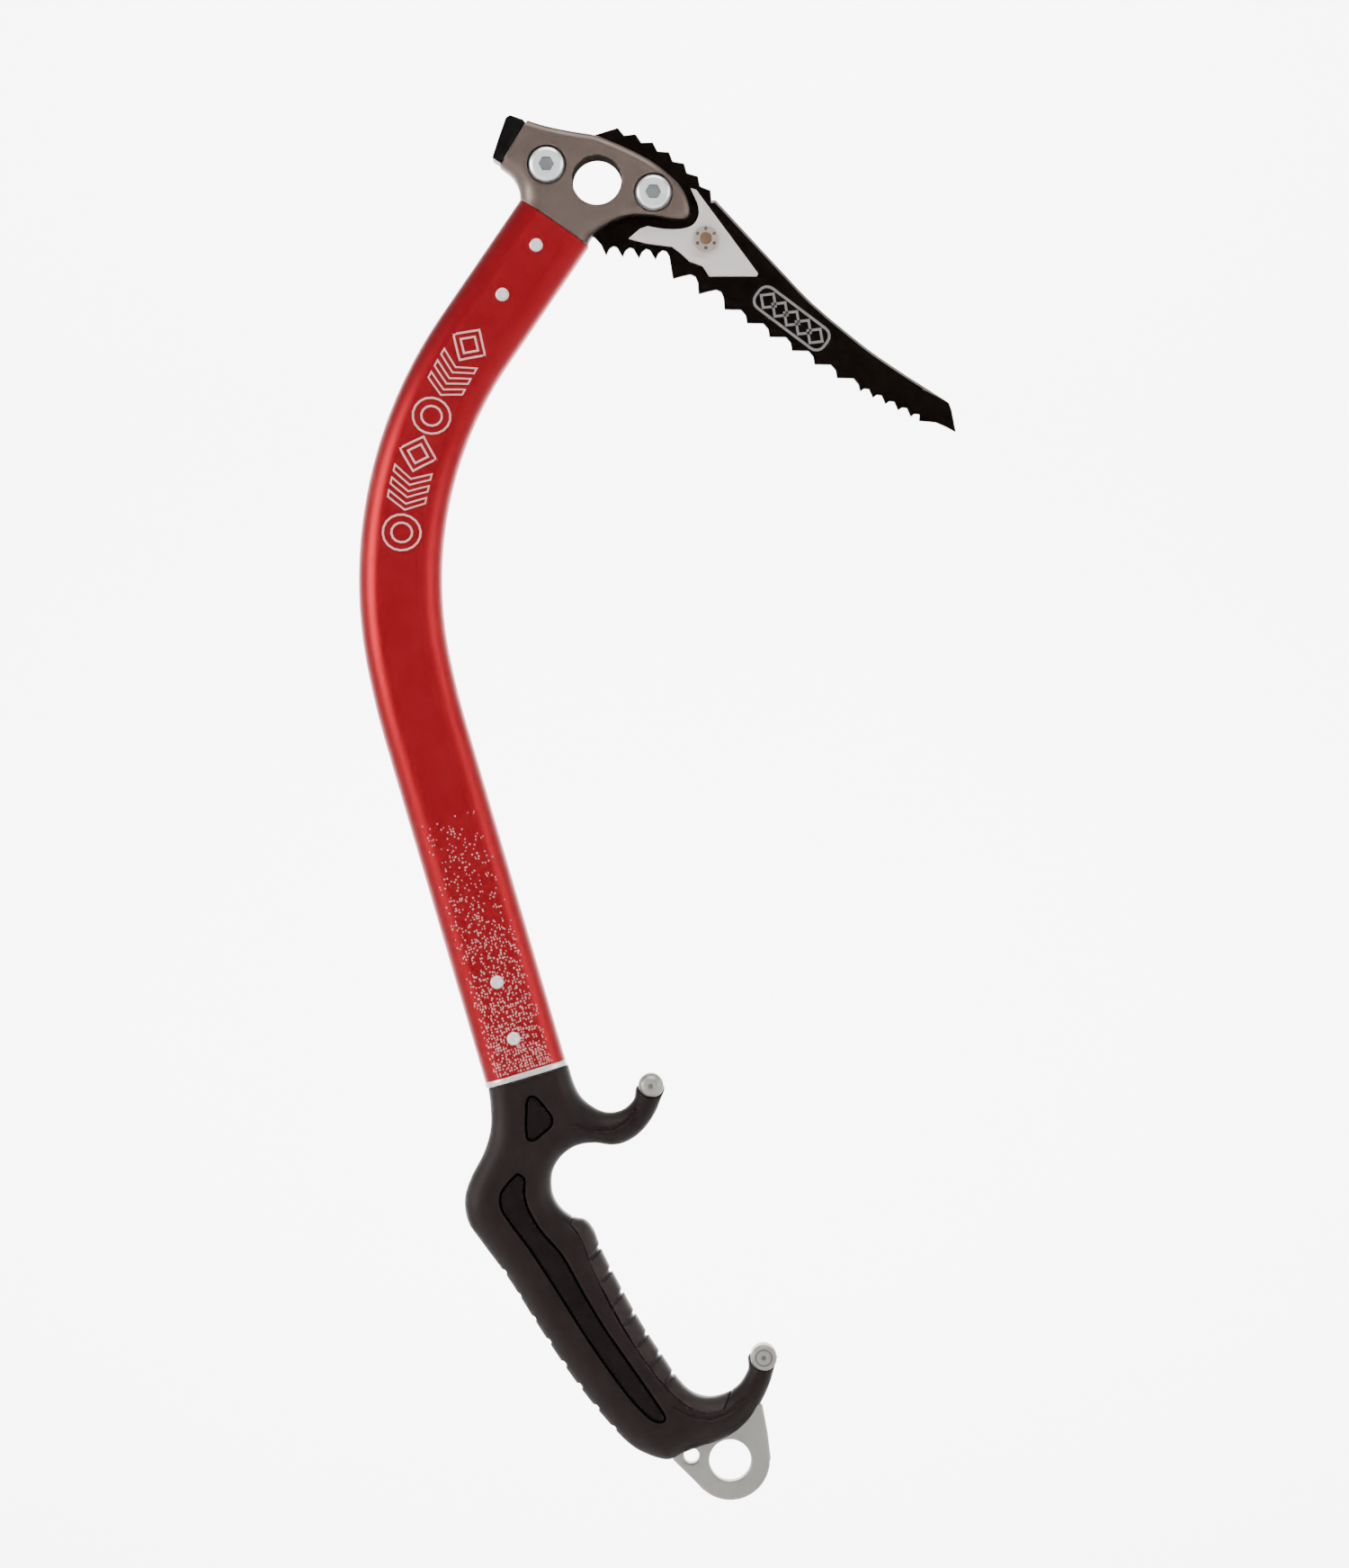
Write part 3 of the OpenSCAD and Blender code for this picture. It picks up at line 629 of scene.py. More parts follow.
def print_ink(name, colour):
    n = Nodes(name, colour, 0.0, 0.55)
    n.set(n.shader, "Roughness", n.ramp(n.noise(0.8, 3, 0.6), 0.5, 0.62))
    n.bump(n.noise(2.0, 2, 0.5), 0.004)
    return n.material


def materials():
    return {
        "shaft": shaft_red(),
        "head": satin_metal("head_bronze", (0.158, 0.122, 0.105), 0.42, 1.3, 0.008),
        "pick": black_steel("pick_black", (0.005, 0.0028, 0.0022), 0.4),
        "ground": satin_metal("pick_ground_edge", (0.2, 0.18, 0.17), 0.36, 1.2, 0.01),
        # painted shade: a dark material with no reflection for the shadowed wall of the karabiner hole, built
        # with the rubber shader
        "bore_shade": rubber("head_bore", (0.05, 0.041, 0.036), 0.8, specular=0.0),
        "hammer": black_steel("hammer_black", (0.009, 0.0075, 0.0075), 0.45),
        "zinc": satin_metal("bolt_zinc", (0.93, 0.96, 0.97), 0.34, 1.0, 0.003, 0.03),
        # painted shade for the inside of the bolt and nut sockets
        "shade": satin_metal("socket_painted_shade", (0.3, 0.31, 0.32), 0.4, 1.0, 0.003),
        "washer": satin_metal("washer_steel", (0.28, 0.27, 0.26), 0.4),
        "weight": satin_metal("weight_blasted", (0.84, 0.79, 0.75), 0.46, 1.6, 0.012, 0.04),
        "nut": satin_metal("ring_nut_dull", (0.52, 0.43, 0.38), 0.4, 1.4, 0.01),
        "stud": satin_metal("stud_copper", (0.24, 0.145, 0.09), 0.38),
        "rivet": satin_metal("rivet_bare", (0.95, 0.94, 0.93), 0.42, 1.2, 0.004, 0.03),
        "collar": satin_metal("collar_turned", (0.8, 0.79, 0.77), 0.3),
        "core": satin_metal("core_blasted", (0.38, 0.37, 0.345), 0.45, 1.4, 0.012, 0.08),
        "rubber": rubber("grip_rubber", (0.0058, 0.0034, 0.0034), 0.5, specular=0.26),
        "ribs": rubber("rib_rubber", (0.021, 0.016, 0.016), 0.52, specular=0.22),
        "inlay": rubber("inlay_matt", (0.0072, 0.0052, 0.0052), 0.5, 2.2, 0.02, 0.1),
        "groove": rubber("groove_shade", (0.0012, 0.0009, 0.0009), 0.7, 2.2, 0.02, 0.05),
        # painted shade for the hollows in the metal tips and the ring nuts' pin holes
        "recess_shade": satin_metal("tip_dimple", (0.19, 0.18, 0.17), 0.5),
        "ink": print_ink("shaft_ink", (0.72, 0.42, 0.38)),
        "specks": print_ink("speck_ink", (0.66, 0.3, 0.28)),
        "mark": print_ink("pick_mark_grey", (0.2, 0.19, 0.185)),
    }


MAT = materials()

# ---- Head ----


HEAD_TANG = 38
HEAD_STEP, GRIP_STEP, RIB_STEP, INLAY_STEP, CORE_STEP = 0.55, 0.5, 0.45, 0.4, 0.5


def head_solid():
    """Two cheeks with the pick's slot and the hammer's ears between them, and the tang below."""
    outline = Field(HEAD)
    slot = Field(PICK_SLOT, 0.5)
    ears = Field(EARS)
    rear_in = np.array((CHEEK_HIGH - CHEEK_LOW)[::-1] * (1, -1))
    rear_in = rear_in / np.linalg.norm(rear_in)
    rivets = [SHAFT_TOP + d * TOP_DOWN - RIVET_BEHIND * TOP_FRONT for d in HEAD_RIVETS]

    def solid(x, y, z):
        side = np.abs(y)
        down, front = along_shaft(x, z, SHAFT_TOP, HEAD_TILT)
        half = HEAD_HALF - 1.4 * smooth_step(19.7, 37.7, x) - 0.8 * smooth_step(-27.3, -42.3, x)
        edge = 3.0 + 5.0 * smooth_step(-17, -3, down)
        body = rounded_plate(outline(x, z), y, half, edge)
        body = np.maximum(body, down + 0.08)
        behind = (CHEEK_LOW[0] - x) * rear_in[0] + (CHEEK_LOW[1] - z) * rear_in[1]
        body = smooth_max(body, behind, 0.5)
        tang = np.maximum(tang_distance(front, y), np.maximum(down - HEAD_TANG, -down - 4))
        pocket = np.maximum(pocket_distance(front, side), 8 - down)
        tang = smooth_max(tang, -pocket, 0.4)
        body = np.minimum(body, tang)
        body = np.maximum(body, -np.maximum(slot(x, z), side - SLOT_HALF))
        ear = np.minimum(ears(x, z), disc(x, z, REAR_BOLT, EAR_R))
        body = np.maximum(body, -np.maximum(ear, side - EARS_HALF))
        body = smooth_max(body, -disc(x, z, (0, 0), CLIP_HOLE_R), 0.6)
        for bolt in (FRONT_BOLT, REAR_BOLT):
            body = np.maximum(body, -disc(x, z, bolt, BARREL_R))
            sink = np.maximum(disc(x, z, bolt, COUNTERBORE_R), COUNTERBORE_FLOOR - side)
            body = smooth_max(body, -sink, 0.7)
        for at in rivets:
            body = np.maximum(body, -disc(x, z, at, RIVET_HOLE_R))
        return body

    return solid


def in_clip_hole(at_face, normal):
    """Faces in the karabiner hole, which get painted shade: a dull dark material for the shadow in the hole.
    """
    return disc(at_face[0], at_face[2], (0, 0), CLIP_HOLE_R) < 0.25


def make_head():
    head = carved("head", "head_forging", head_solid(), HEAD_STEP, MAT["head"], "head_forging")
    # the wall of the karabiner hole is painted dark as shade
    paint_faces(head, MAT["bore_shade"], in_clip_hole)


# ---- Shaft ----


# The panels stop this far short of the flanks, so the edge between them is a narrow slope.
CREASE = 0.7


def section_points(grow=0.0, n=20):
    """The section's points (towards the front, across), once round."""
    r, off = flank_circle()
    r, half = r + grow, SHAFT_HALF + grow
    top = math.asin(half / r)
    panel = off + r * math.cos(top) - CREASE
    nose = [(off + r * math.cos(a), r * math.sin(a)) for a in np.linspace(-top, top, n)]
    front = [(panel, -half)] + nose + [(panel, half)]
    return front + [(-w, -y) for w, y in front]


def surface_at(s, around, lift=0.0, side=-1):
    """A point on the shaft: s down it, and around its section from the middle of a side panel."""
    r, off = flank_circle()
    top = math.asin(SHAFT_HALF / r)
    flat = off + r * math.cos(top)
    if abs(around) <= flat:
        w, y = around, SHAFT_HALF + lift
    else:
        a = top - (abs(around) - flat) / r
        w = math.copysign(off + (r + lift) * math.cos(a), around)
        y = (r + lift) * math.sin(a)
    point, tilt = shaft_at(s)
    p = point + w * tilted(tilt)[1]
    return (p[0], side * y, p[1])


def make_shaft():
    """The tube: an outer and an inner skin swept down the centreline, joined at both ends."""
    outer, inner = section_points(), section_points(-SHAFT_WALL)
    stations = [0.0]
    while stations[-1] < SHAFT_LEN - 2.5:
        stations.append(stations[-1] + 2.0)
    stations.append(SHAFT_LEN)
    verts, faces = [], []
    for shape in (outer, inner):
        for s in stations:
            point, tilt = shaft_at(s)
            front = tilted(tilt)[1]
            for w, y in shape:
                x, z = point + w * front
                verts.append((x, y, z))
    rings, count = len(stations), len(outer)
    skin = rings * count
    for layer in (0, 1):
        base = layer * skin
        for i in range(rings - 1):
            for j in range(count):
                a, b = base + i * count + j, base + i * count + (j + 1) % count
                q = (a, a + count, b + count, b)
                faces.append(q[::-1] if layer else q)
    for i, flip in ((0, False), (rings - 1, True)):
        for j in range(count):
            a, b = i * count + j, i * count + (j + 1) % count
            q = (a, b, b + skin, a + skin)
            faces.append(q[::-1] if flip else q)
    piece = new_piece("shaft_tube", verts, faces, MAT["shaft"], 25)
    face_outwards(piece)
    stands_for(piece, "axe", "shaft_anodised", "shaft")


# ---- Printed marks: thin raised films of ink ----


class Film:
    """Collects flat strokes and dots, given in a flat frame, and lays them on a surface."""

    def __init__(self, place, thickness=0.035):
        self.place, self.thickness = place, thickness
        self.verts, self.faces = [], []

    def patch(self, points):
        """A small convex patch, as a closed thin slab."""
        n, base = len(points), len(self.verts)
        self.verts += [self.place(u, v, self.thickness) for u, v in points]
        self.verts += [self.place(u, v, -self.thickness) for u, v in points]
        self.faces.append(tuple(range(base, base + n)))
        self.faces.append(tuple(range(base + 2 * n - 1, base + n - 1, -1)))
        for i in range(n):
            j = (i + 1) % n
            self.faces.append((base + i, base + n + i, base + n + j, base + j))

    def stroke(self, path, width, closed=True):
        """A mitred band along a path."""
        p = np.array(path, float)
        ends = range(len(p)) if closed else range(len(p) - 1)
        sides = []
        for i in range(len(p)):
            before = p[i] - p[i - 1] if closed or i else p[1] - p[0]
            after = p[(i + 1) % len(p)] - p[i] if closed or i < len(p) - 1 else before
            a, b = before / np.linalg.norm(before), after / np.linalg.norm(after)
            mitre = np.array((-(a + b)[1], (a + b)[0]))
            mitre /= np.linalg.norm(mitre)
            grow = min(1 / max(mitre @ np.array((-a[1], a[0])), 0.35), 2.5)
            sides.append((p[i] + mitre * grow * width / 2, p[i] - mitre * grow * width / 2))
        for i in ends:
            j = (i + 1) % len(p)
            steps = max(1, int(np.linalg.norm(p[j] - p[i]) / 3))
            for k in range(steps):
                t0, t1 = k / steps, (k + 1) / steps
                l0, l1 = (sides[i][0] * (1 - t) + sides[j][0] * t for t in (t0, t1))
                r0, r1 = (sides[i][1] * (1 - t) + sides[j][1] * t for t in (t0, t1))
                self.patch([l0, l1, r1, r0])

    def piece(self, name, material):
        made = new_piece(name, self.verts, self.faces, material, 30)
        face_outwards(made)
        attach(made, "axe")


def regular(n, r, turn=0.0, squash=1.0, at=(0, 0)):
    """The corners of a regular polygon, squashed in its second direction."""
    turns = [turn + 2 * math.pi * i / n for i in range(n)]
    return [(at[0] + r * math.cos(a), at[1] + squash * r * math.sin(a)) for a in turns]


BAND_START, BAND_CELL, BAND_CELLS = 47.0, 14.6, 6
BAND_HALF = 6.9
INK_W = 0.75
CHEVRON_STEP, CHEVRON_NOSE, CHEVRON_W = 4.6, 3.6, 2.2


def band_motif(film, cell, s0):
    """One cell of the printed band: plain outlined shapes that alternate."""
    s, h, pad = s0 + BAND_CELL / 2, BAND_HALF, 0.8
    half = BAND_CELL / 2 - pad
    if cell % 3 == 0:
        film.stroke([(s - half, 0), (s, h), (s + half, 0), (s, -h)], INK_W)
        film.stroke([(s - half * 0.55, 0), (s, h * 0.55), (s + half * 0.55, 0), (s, -h * 0.55)], INK_W)
    elif cell % 3 == 1:
        for i in range(3):
            foot = s - half + i * CHEVRON_STEP
            nose, heel = foot + CHEVRON_NOSE, foot - CHEVRON_W
            film.stroke([(foot, -h), (nose, 0), (foot, h), (heel, h), (nose - CHEVRON_W, 0), (heel, -h)],
                        INK_W * 0.8)
    else:
        film.stroke(regular(18, half, 0, h / half, (s, 0)), INK_W)
        film.stroke(regular(14, half * 0.55, 0, h / half, (s, 0)), INK_W)


HALFTONE_RUN, HALFTONE_PITCH, HALFTONE_JITTER = 96.0, 1.0, 0.27
HALFTONE_REACH = 11.5


def halftone(film, rng):
    """Specks that thicken towards the collar, on the panel and over its edges."""
    rows, columns = int(HALFTONE_RUN / HALFTONE_PITCH), int(2 * HALFTONE_REACH / HALFTONE_PITCH)
    for i in range(rows):
        share = i / rows
        for j in range(columns):
            s = SHAFT_LEN - HALFTONE_RUN + i * HALFTONE_PITCH + rng.uniform(-HALFTONE_JITTER, HALFTONE_JITTER)
            w = -HALFTONE_REACH + (j + 0.5) * HALFTONE_PITCH
            w += rng.uniform(-HALFTONE_JITTER, HALFTONE_JITTER)
            room = 1 - 0.55 * smooth_step(7.0, HALFTONE_REACH, abs(w))
            r = rng.uniform(0.27, 0.41) + 0.16 * share * rng.random()
            kept = rng.random() < (0.14 + 0.68 * share) * room
            turn, squash = rng.uniform(0, 3), rng.uniform(0.6, 1.0)
            if kept and s < SHAFT_LEN - 0.8:
                film.patch(regular(6, r, turn, squash, (s, w)))


SIDES = ((-1, "right"), (1, "left"))


def make_shaft_prints():
    for side, word in SIDES:
        band = Film(lambda u, v, lift, side=side: surface_at(u, v, lift, side))
        for cell in range(BAND_CELLS):
            band_motif(band, cell, BAND_START + cell * BAND_CELL)
        band.piece(f"printed_band_{word}", MAT["ink"])
        specks = Film(band.place)
        halftone(specks, random.Random(7 + side))
        specks.piece(f"printed_specks_{word}", MAT["specks"])


MARK_AT, MARK_TURN = np.array((70.9, -49.6)), math.radians(-37)
MARK_LEN, MARK_H, MARK_LOZENGES = 31.0, 9.0, 5


def make_pick_mark():
    """A plain rounded frame round a row of outlined lozenges, on each side of the pick."""
    half = reach("pick")[1][1]
    c, s = math.cos(MARK_TURN), math.sin(MARK_TURN)
    for side, word in SIDES:
        def place(u, v, lift, side=side):
            return (MARK_AT[0] + u * c - v * s, side * (half + lift), MARK_AT[1] + u * s + v * c)

        film = Film(place, 0.04)
        film.stroke(rounded_box(MARK_LEN, MARK_H, 3.4), 1.0)
        for i in range(MARK_LOZENGES):
            at = (MARK_LEN * ((i + 0.5) / MARK_LOZENGES - 0.5) * 0.86, 0)
            film.stroke(regular(4, 3.3, 0, 0.95, at), 0.95)
        film.piece(f"pick_mark_{word}", MAT["mark"])


def rounded_box(length, height, r, n=5):
    """The outline of a box with rounded corners, about the origin."""
    corners = [(1, 1, 0), (-1, 1, 90), (-1, -1, 180), (1, -1, 270)]
    out = []
    for su, sv, start in corners:
        for k in range(n):
            a = math.radians(start + 90 * k / (n - 1))
            out.append((su * (length / 2 - r) + r * math.cos(a), sv * (height / 2 - r) + r * math.sin(a)))
    return out


# ---- Handle ----

GRIP_EDGE = 9.0


def row(first, step, turn, count):
    """Places along a gently curving row, the way the CAD sets out its serrations."""
    return [np.array(first) + i * np.array(step) + i * i * np.array(turn) for i in range(count)]


RIBS = row((1.45, -387.3), (4.0, -8.2), (0.07, 0.08), 7)
RIB_RUN = np.array((-3.4, -4.0))
PALM_RIBS = row((-34.2, -397.1), (5.2, -8.6), (0.07, 0.07), 8)
PALM_RIB_R, PALM_RIB_DEPTH = 1.3, 0.75
UPPER_CREASE = [(-8.3, -343.1), (-1.3, -344.9), (5.7, -344.9), (10.7, -342.3), (14.3, -337.7)]
LOWER_CREASE = [(27.2, -444.9), (34.2, -448.9), (41.7, -449.9), (48.2, -447.5), (53.2, -442.9)]


def path_distance(x, z, path):
    d = line_distance(x, z, path[0], path[1])
    for a, b in zip(path[1:], path[2:]):
        d = np.minimum(d, line_distance(x, z, a, b))
    return d


RIB_R, RIB_DEPTH = 0.75, 0.95
CREASE_R = 0.6
HORN_RUNS = (34.0, 30.0)


def grip_fields():
    return {
        "grip": Field(GRIP, soften=1.6),
        "strip": Field(STRIP),
        "upper": Field(UPPER_INLAY),
        "lower": Field(LOWER_INLAY),
    }


def grip_base(f, x, y, z):
    """The whole rubber moulding, before it is split and grooved. Its horns thin out towards their tips."""
    tips = ((UPPER_TIP, UPPER_TIP_R), (LOWER_TIP, LOWER_TIP_R))
    half = GRIP_HALF - 0.05
    for (tip, _), run in zip(tips, HORN_RUNS):
        half = half - (GRIP_HALF - TIP_HALF) * smooth_step(run, 5, disc(x, z, tip, 0))
    base = rounded_plate(f["grip"](x, z), y, half, np.minimum(GRIP_EDGE, half - 0.4))
    down, _ = along_shaft(x, z, SHAFT_FOOT, FOOT_TILT)
    base = smooth_max(base, COLLAR_H + 0.12 - down, 0.6)
    for tip, r in tips:
        base = np.maximum(base, -disc(x, z, tip, r + 0.03))
    return base


def grip_solid(f):
    """The moulding with pockets and moats for the inlays, palm serrations and two creases."""
    def solid(x, y, z):
        base = grip_base(f, x, y, z)
        out = base
        for key in ("upper", "lower"):
            d = f[key](x, z)
            out = smooth_max(out, -np.maximum(d, -base - 1.0), 0.3)
            out = smooth_max(out, 0.62 - np.hypot(d - 0.15, base + 0.1), 0.25)
        seam = np.hypot(f["strip"](x, z), base) - 0.22
        out = np.maximum(out, -seam)
        out = np.maximum(out, 0.05 - f["strip"](x, z))
        for at in PALM_RIBS:
            cut = np.maximum(disc(x, z, at, PALM_RIB_R), -base - PALM_RIB_DEPTH)
            out = smooth_max(out, -cut, 0.3)
        for crease in (UPPER_CREASE, LOWER_CREASE):
            groove = np.hypot(path_distance(x, z, crease), base + 0.1) - CREASE_R
            out = smooth_max(out, -groove, 0.5)
        return out

    return solid


def strip_solid(f):
    """The softer strip under the fingers, with slanting grooves."""
    def solid(x, y, z):
        base = grip_base(f, x, y, z)
        out = smooth_max(base, f["strip"](x, z) + 0.05, 0.3)
        for at in RIBS:
            outer = at - RIB_RUN * 0.6
            cut = np.maximum(line_distance(x, z, outer, at + RIB_RUN) - RIB_R, -base - RIB_DEPTH)
            out = smooth_max(out, -cut, 0.4)
        return out

    return solid


def inlay_solid(f, key, side):
    """An inlay's plate, a little below the rubber round it, on one side of the grip."""
    def solid(x, y, z):
        base = grip_base(f, x, y, z)
        shell = smooth_max(base + 0.12, f[key](x, z) + 0.35, 0.4)
        return np.maximum(np.maximum(shell, -base - 0.95), 2 - side * y)

    return solid


def make_grip():
    f = grip_fields()
    moulding = carved("grip_body", "grip_moulding", grip_solid(f), GRIP_STEP, MAT["rubber"], "grip_rubber")

    def in_groove(at_face, normal):
        x, y, z = at_face
        near = np.minimum(f["upper"](x, z), f["lower"](x, z)) < 0.7
        return near & (grip_base(f, x, y, z) < -0.22)

    paint_faces(moulding, MAT["groove"], in_groove)
    carved("grip_front_ribs", "finger_ribs", strip_solid(f), RIB_STEP, MAT["ribs"], "rib_rubber")
    for key in ("upper", "lower"):
        for side, word in SIDES[::-1]:
            node, solid = f"{key}_inlay_{word}", inlay_solid(f, key, side)
            carved(node, f"{node}_skin", solid, INLAY_STEP, MAT["inlay"], "inlay_plastic", out=3.0)


CORE_TANG = 42


def core_solid():
    """The core: a plate down the handle, the lug and its holes, the tang and both metal tips."""
    blade, horn, lug = Field(CORE_MAIN, 0.4), Field(CORE_HORN, 0.4), Field(LUG, 0.25)
    foot_down, foot_front = tilted(FOOT_TILT)
    rivets = [SHAFT_FOOT - d * foot_down - RIVET_BEHIND * foot_front for d in HANDLE_RIVETS]

    def solid(x, y, z):
        side = np.abs(y)
        down, front = along_shaft(x, z, SHAFT_FOOT, FOOT_TILT)
        flat = np.minimum(blade(x, z), horn(x, z))
        plate = smooth_min(lug(x, z), disc(x, z, EYE, LUG_R), 0.6)
        plate = rounded_plate(np.minimum(plate, flat), y, CORE_HALF, 1.1)
        plate = np.maximum(plate, -down - 6)
        plate = smooth_max(plate, -disc(x, z, EYE, EYE_R), 1.0)
        plate = smooth_max(plate, -disc(x, z, LANYARD, LANYARD_R), 0.8)
        tang = np.maximum(tang_distance(front, y), np.maximum(down - COLLAR_H, -down - CORE_TANG))
        pocket = np.maximum(pocket_distance(front, side), down + 10)
        body = np.minimum(plate, smooth_max(tang, -pocket, 0.4))
        for tip, r, edge in ((UPPER_TIP, UPPER_TIP_R, 3.4), (LOWER_TIP, LOWER_TIP_R, 1.6)):
            knob = rounded_plate(disc(x, z, tip, r), y, TIP_HALF, edge)
            knob = smooth_max(knob, 1.0 - np.hypot(disc(x, z, tip, 0), side - TIP_HALF - 0.1), 0.3)
            body = np.minimum(body, knob)
        ring = np.hypot(disc(x, z, LOWER_TIP, TIP_RING_R), side - TIP_HALF) - 0.35
        body = smooth_max(body, -ring, 0.2)
        for at in rivets:
            body = np.maximum(body, -disc(x, z, at, RIVET_HOLE_R))
        return body

    return solid


def make_core():
    carved("handle_core", "handle_core_forging", core_solid(), CORE_STEP, MAT["core"], "core_forging")
    for side, word in SIDES:
        make_tip_painted_shade(side, word)


DIMPLE_SHADE_R = 0.85


def make_tip_painted_shade(side, word):
    """Painted shade: dark films on the floors of the hollow in each metal tip and of the ring round the lower
    one.
    """
    film = Film(lambda u, v, lift: (u, side * (TIP_HALF - 0.16 + lift), v))
    for tip in (UPPER_TIP, LOWER_TIP):
        film.patch(regular(14, DIMPLE_SHADE_R, at=tip))
    film.stroke(regular(32, TIP_RING_R, at=LOWER_TIP), 0.6)
    film.piece(f"tip_painted_shade_{word}", MAT["recess_shade"])


# ---- Hard metal parts, from their CAD nodes ----

SOCKET_R = 2.95
PIN_RING_R, PIN_HOLE_R = 3.5, 0.72
# The tilt of the pick's back, and where along X its bevel is ground.
PICK_BACK = math.radians(48)
BACK_RUN = (42.0, 118.0)


def inside_socket(at, reach_in):
    """Faces in a bolt's hexagon socket, and not on the face of the head."""
    def wanted(at_face, normal):
        x, y, z = at_face
        return (disc(x, z, at, SOCKET_R) < 0) & (np.abs(y) < reach_in)

    return wanted


def make_bolt(end, at):
    """A head bolt with its washer and its barrel nut. The sockets get painted shade inside."""
    screw = refined(
        f"{end}_bolt", f"{end}_bolt_head", MAT["zinc"], 0.35, 3, body=f"{end}_bolt_screw", slot="bolt_zinc"
    )
    # painted shade inside the bolt's socket
    paint_faces(screw, MAT["shade"], inside_socket(at, abs(reach(f"{end}_bolt")[0][1]) - 0.5))
    nut = refined(f"{end}_nut", f"{end}_barrel_nut", MAT["zinc"], 0.3, 3, slot="bolt_zinc")
    # painted shade inside the nut's socket
    paint_faces(nut, MAT["shade"], inside_socket(at, reach(f"{end}_nut")[1][1] - 0.5))
    refined(
        f"{end}_washer", f"{end}_flat_washer", MAT["washer"], 0.2, 2, body=f"{end}_bolt_washer",
        slot="washer_steel"
    )


def make_pick():
    """The blade is black; the bevel along its back is ground bare."""
    flat = reach("pick")[1][1] - 0.02

    def faces_back(normal):
        return normal[0] * math.sin(PICK_BACK) + normal[2] * math.cos(PICK_BACK) > 0.25

    def along_back(at, edge):
        return BACK_RUN[0] < at.x < BACK_RUN[1] and any(faces_back(f.normal) for f in edge.link_faces)

    def bare(at_face, normal):
        x, y, _ = at_face
        return faces_back(normal) & (np.abs(normal[1]) > 0.2) & (x > 5) & (np.abs(y) < flat)

    blade = refined("pick", "pick_blade", MAT["pick"], 0.3, 2, slot="pick_steel", first=(0.9, along_back))
    paint_faces(blade, MAT["ground"], bare)
    # the pick's faces in the karabiner hole get the same painted shade
    paint_faces(blade, MAT["bore_shade"], in_clip_hole)


def make_metal():
    make_pick()
    make_bolt("front", FRONT_BOLT)
    make_bolt("rear", REAR_BOLT)
    refined("hammer", "hammer_block", MAT["hammer"], 0.8, 3, slot="hammer_steel")
    for side in ("left", "right"):
        refined(f"weight_{side}", f"pick_weight_{side}", MAT["weight"], 0.55, 3, slot="weight_metal")
        nut = refined(f"weight_nut_{side}", f"ring_nut_{side}", MAT["nut"], 0.3, 2, slot="weight_metal")
        top = reach(f"weight_nut_{side}")[0 if side == "right" else 1][1]
        # painted shade on the walls of the ring nut's pin holes
        paint_faces(nut, MAT["recess_shade"], lambda c, n, top=top: (np.abs(c[1] - top) > 0.2) & in_pin_hole(c))
    refined("weight_stud", "weight_stud_pin", MAT["stud"], 0.4, 2, slot="stud_brass")
    refined("head_rivets", "head_rivet_pair", MAT["rivet"], 0.25, 3, slot="rivet_metal")
    refined("handle_rivets", "handle_rivet_pair", MAT["rivet"], 0.25, 3, slot="rivet_metal")
    refined("shaft_collar", "collar_ring", MAT["collar"], 0.25, 2, slot="collar_metal")


def in_pin_hole(at_face):
    """Whether points are in the ring that holds a ring nut's pin holes."""
    return np.abs(disc(at_face[0], at_face[2], STUD, PIN_RING_R)) < PIN_HOLE_R


# ---- Camera, stage and light ----

VIEW_CENTRE = Vector((0.0282, 0, -0.2192))
VIEW_HEIGHT = 0.5717
VIEW_DISTANCE = 2.0
SENSOR = 36.0


def make_camera():
    data = bpy.data.cameras.new("camera")
    data.sensor_width = data.sensor_height = SENSOR
    data.sensor_fit = "AUTO"
    data.lens = SENSOR * VIEW_DISTANCE / VIEW_HEIGHT
    data.clip_start, data.clip_end = 0.05, 30
    camera = bpy.data.objects.new("camera", data)
    camera.location = VIEW_CENTRE - Vector((0, VIEW_DISTANCE, 0))
    camera.rotation_euler = (math.radians(90), 0, 0)
    bpy.context.scene.collection.objects.link(camera)
    bpy.context.scene.camera = camera


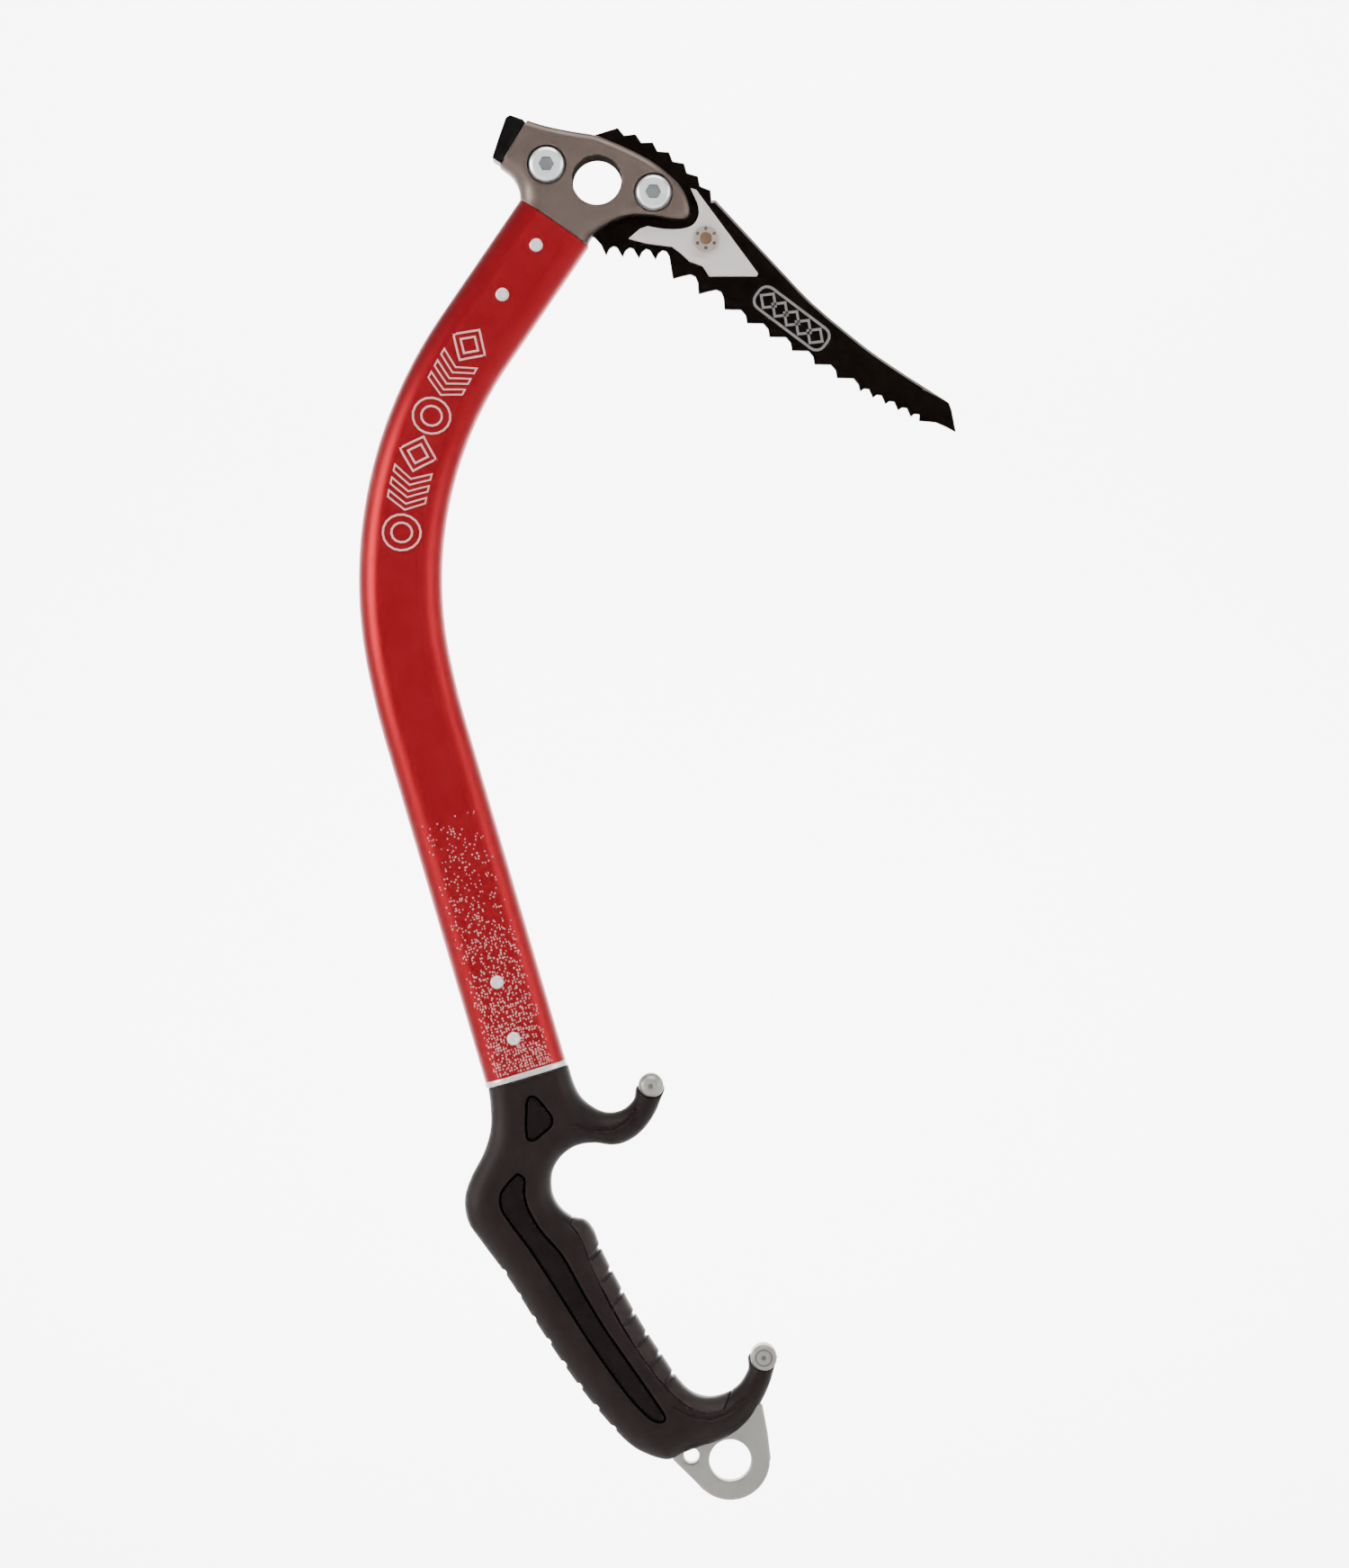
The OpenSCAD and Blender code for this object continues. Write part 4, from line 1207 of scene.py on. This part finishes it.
def make_stage():
    """A round pale floor that sweeps up into a low wall all round, past every camera."""
    floor_z, floor_r, bend, top, around = -1.1, 3.0, 1.3, 1.6, 96
    profile = [(0.1, floor_z)]
    for i in range(13):
        a = math.radians(90 * i / 12)
        profile.append((floor_r + bend * math.sin(a), floor_z + bend - bend * math.cos(a)))
    profile.append((floor_r + bend, top))
    turns = [2 * math.pi * k / around for k in range(around)]
    verts = [(r * math.cos(a), r * math.sin(a), z) for r, z in profile for a in turns]
    faces = [tuple(range(around))[::-1]]
    for i in range(len(profile) - 1):
        for k in range(around):
            a, b = i * around + k, i * around + (k + 1) % around
            faces.append((a, b, b + around, a + around))
    mesh = bpy.data.meshes.new("sweep")
    mesh.from_pydata(verts, [], faces)
    mesh.polygons.foreach_set("use_smooth", [True] * len(mesh.polygons))
    n = Nodes("sweep_paper", (0.9, 0.9, 0.9), 0.0, 0.8)
    n.set(n.shader, "Roughness", n.ramp(n.noise(0.004, 3), 0.75, 0.9))
    mesh.materials.append(n.material)
    sweep = bpy.data.objects.new("sweep", mesh)
    bpy.context.scene.collection.objects.link(sweep)


def area_light(name, at, size, power, target=(0.02, 0, -0.22), spread=180):
    data = bpy.data.lights.new(name, "AREA")
    data.shape, data.size, data.size_y = "RECTANGLE", size[0], size[1]
    data.energy, data.spread = power, math.radians(spread)
    light = bpy.data.objects.new(name, data)
    light.location = at
    light.rotation_euler = (Vector(target) - Vector(at)).to_track_quat("-Z", "Y").to_euler()
    bpy.context.scene.collection.objects.link(light)


def make_lights():
    world = bpy.data.worlds.new("studio")
    world.use_nodes = True
    world.node_tree.nodes["Background"].inputs["Color"].default_value = (1, 1, 1, 1)
    world.node_tree.nodes["Background"].inputs["Strength"].default_value = 0.66
    bpy.context.scene.world = world
    area_light("left_softbox", (-2.2, -0.7, 0.05), (1.1, 1.5), 33)
    area_light("right_softbox", (2.2, -0.6, 0.05), (1.1, 1.5), 10)
    area_light("top_softbox", (0.1, -0.5, 1.4), (1.6, 1.0), 20)
    area_light("back_wall_wash", (0.0, 2.4, 1.9), (3.4, 0.8), 330, (0, 4.2, -0.6), spread=110)
    area_light("rear_fill", (0.3, 1.3, 0.3), (1.4, 0.8), 2.5)


make_camera()
make_stage()
make_lights()
make_head()
make_shaft()
make_shaft_prints()
make_metal()
make_pick_mark()
make_grip()
make_core()
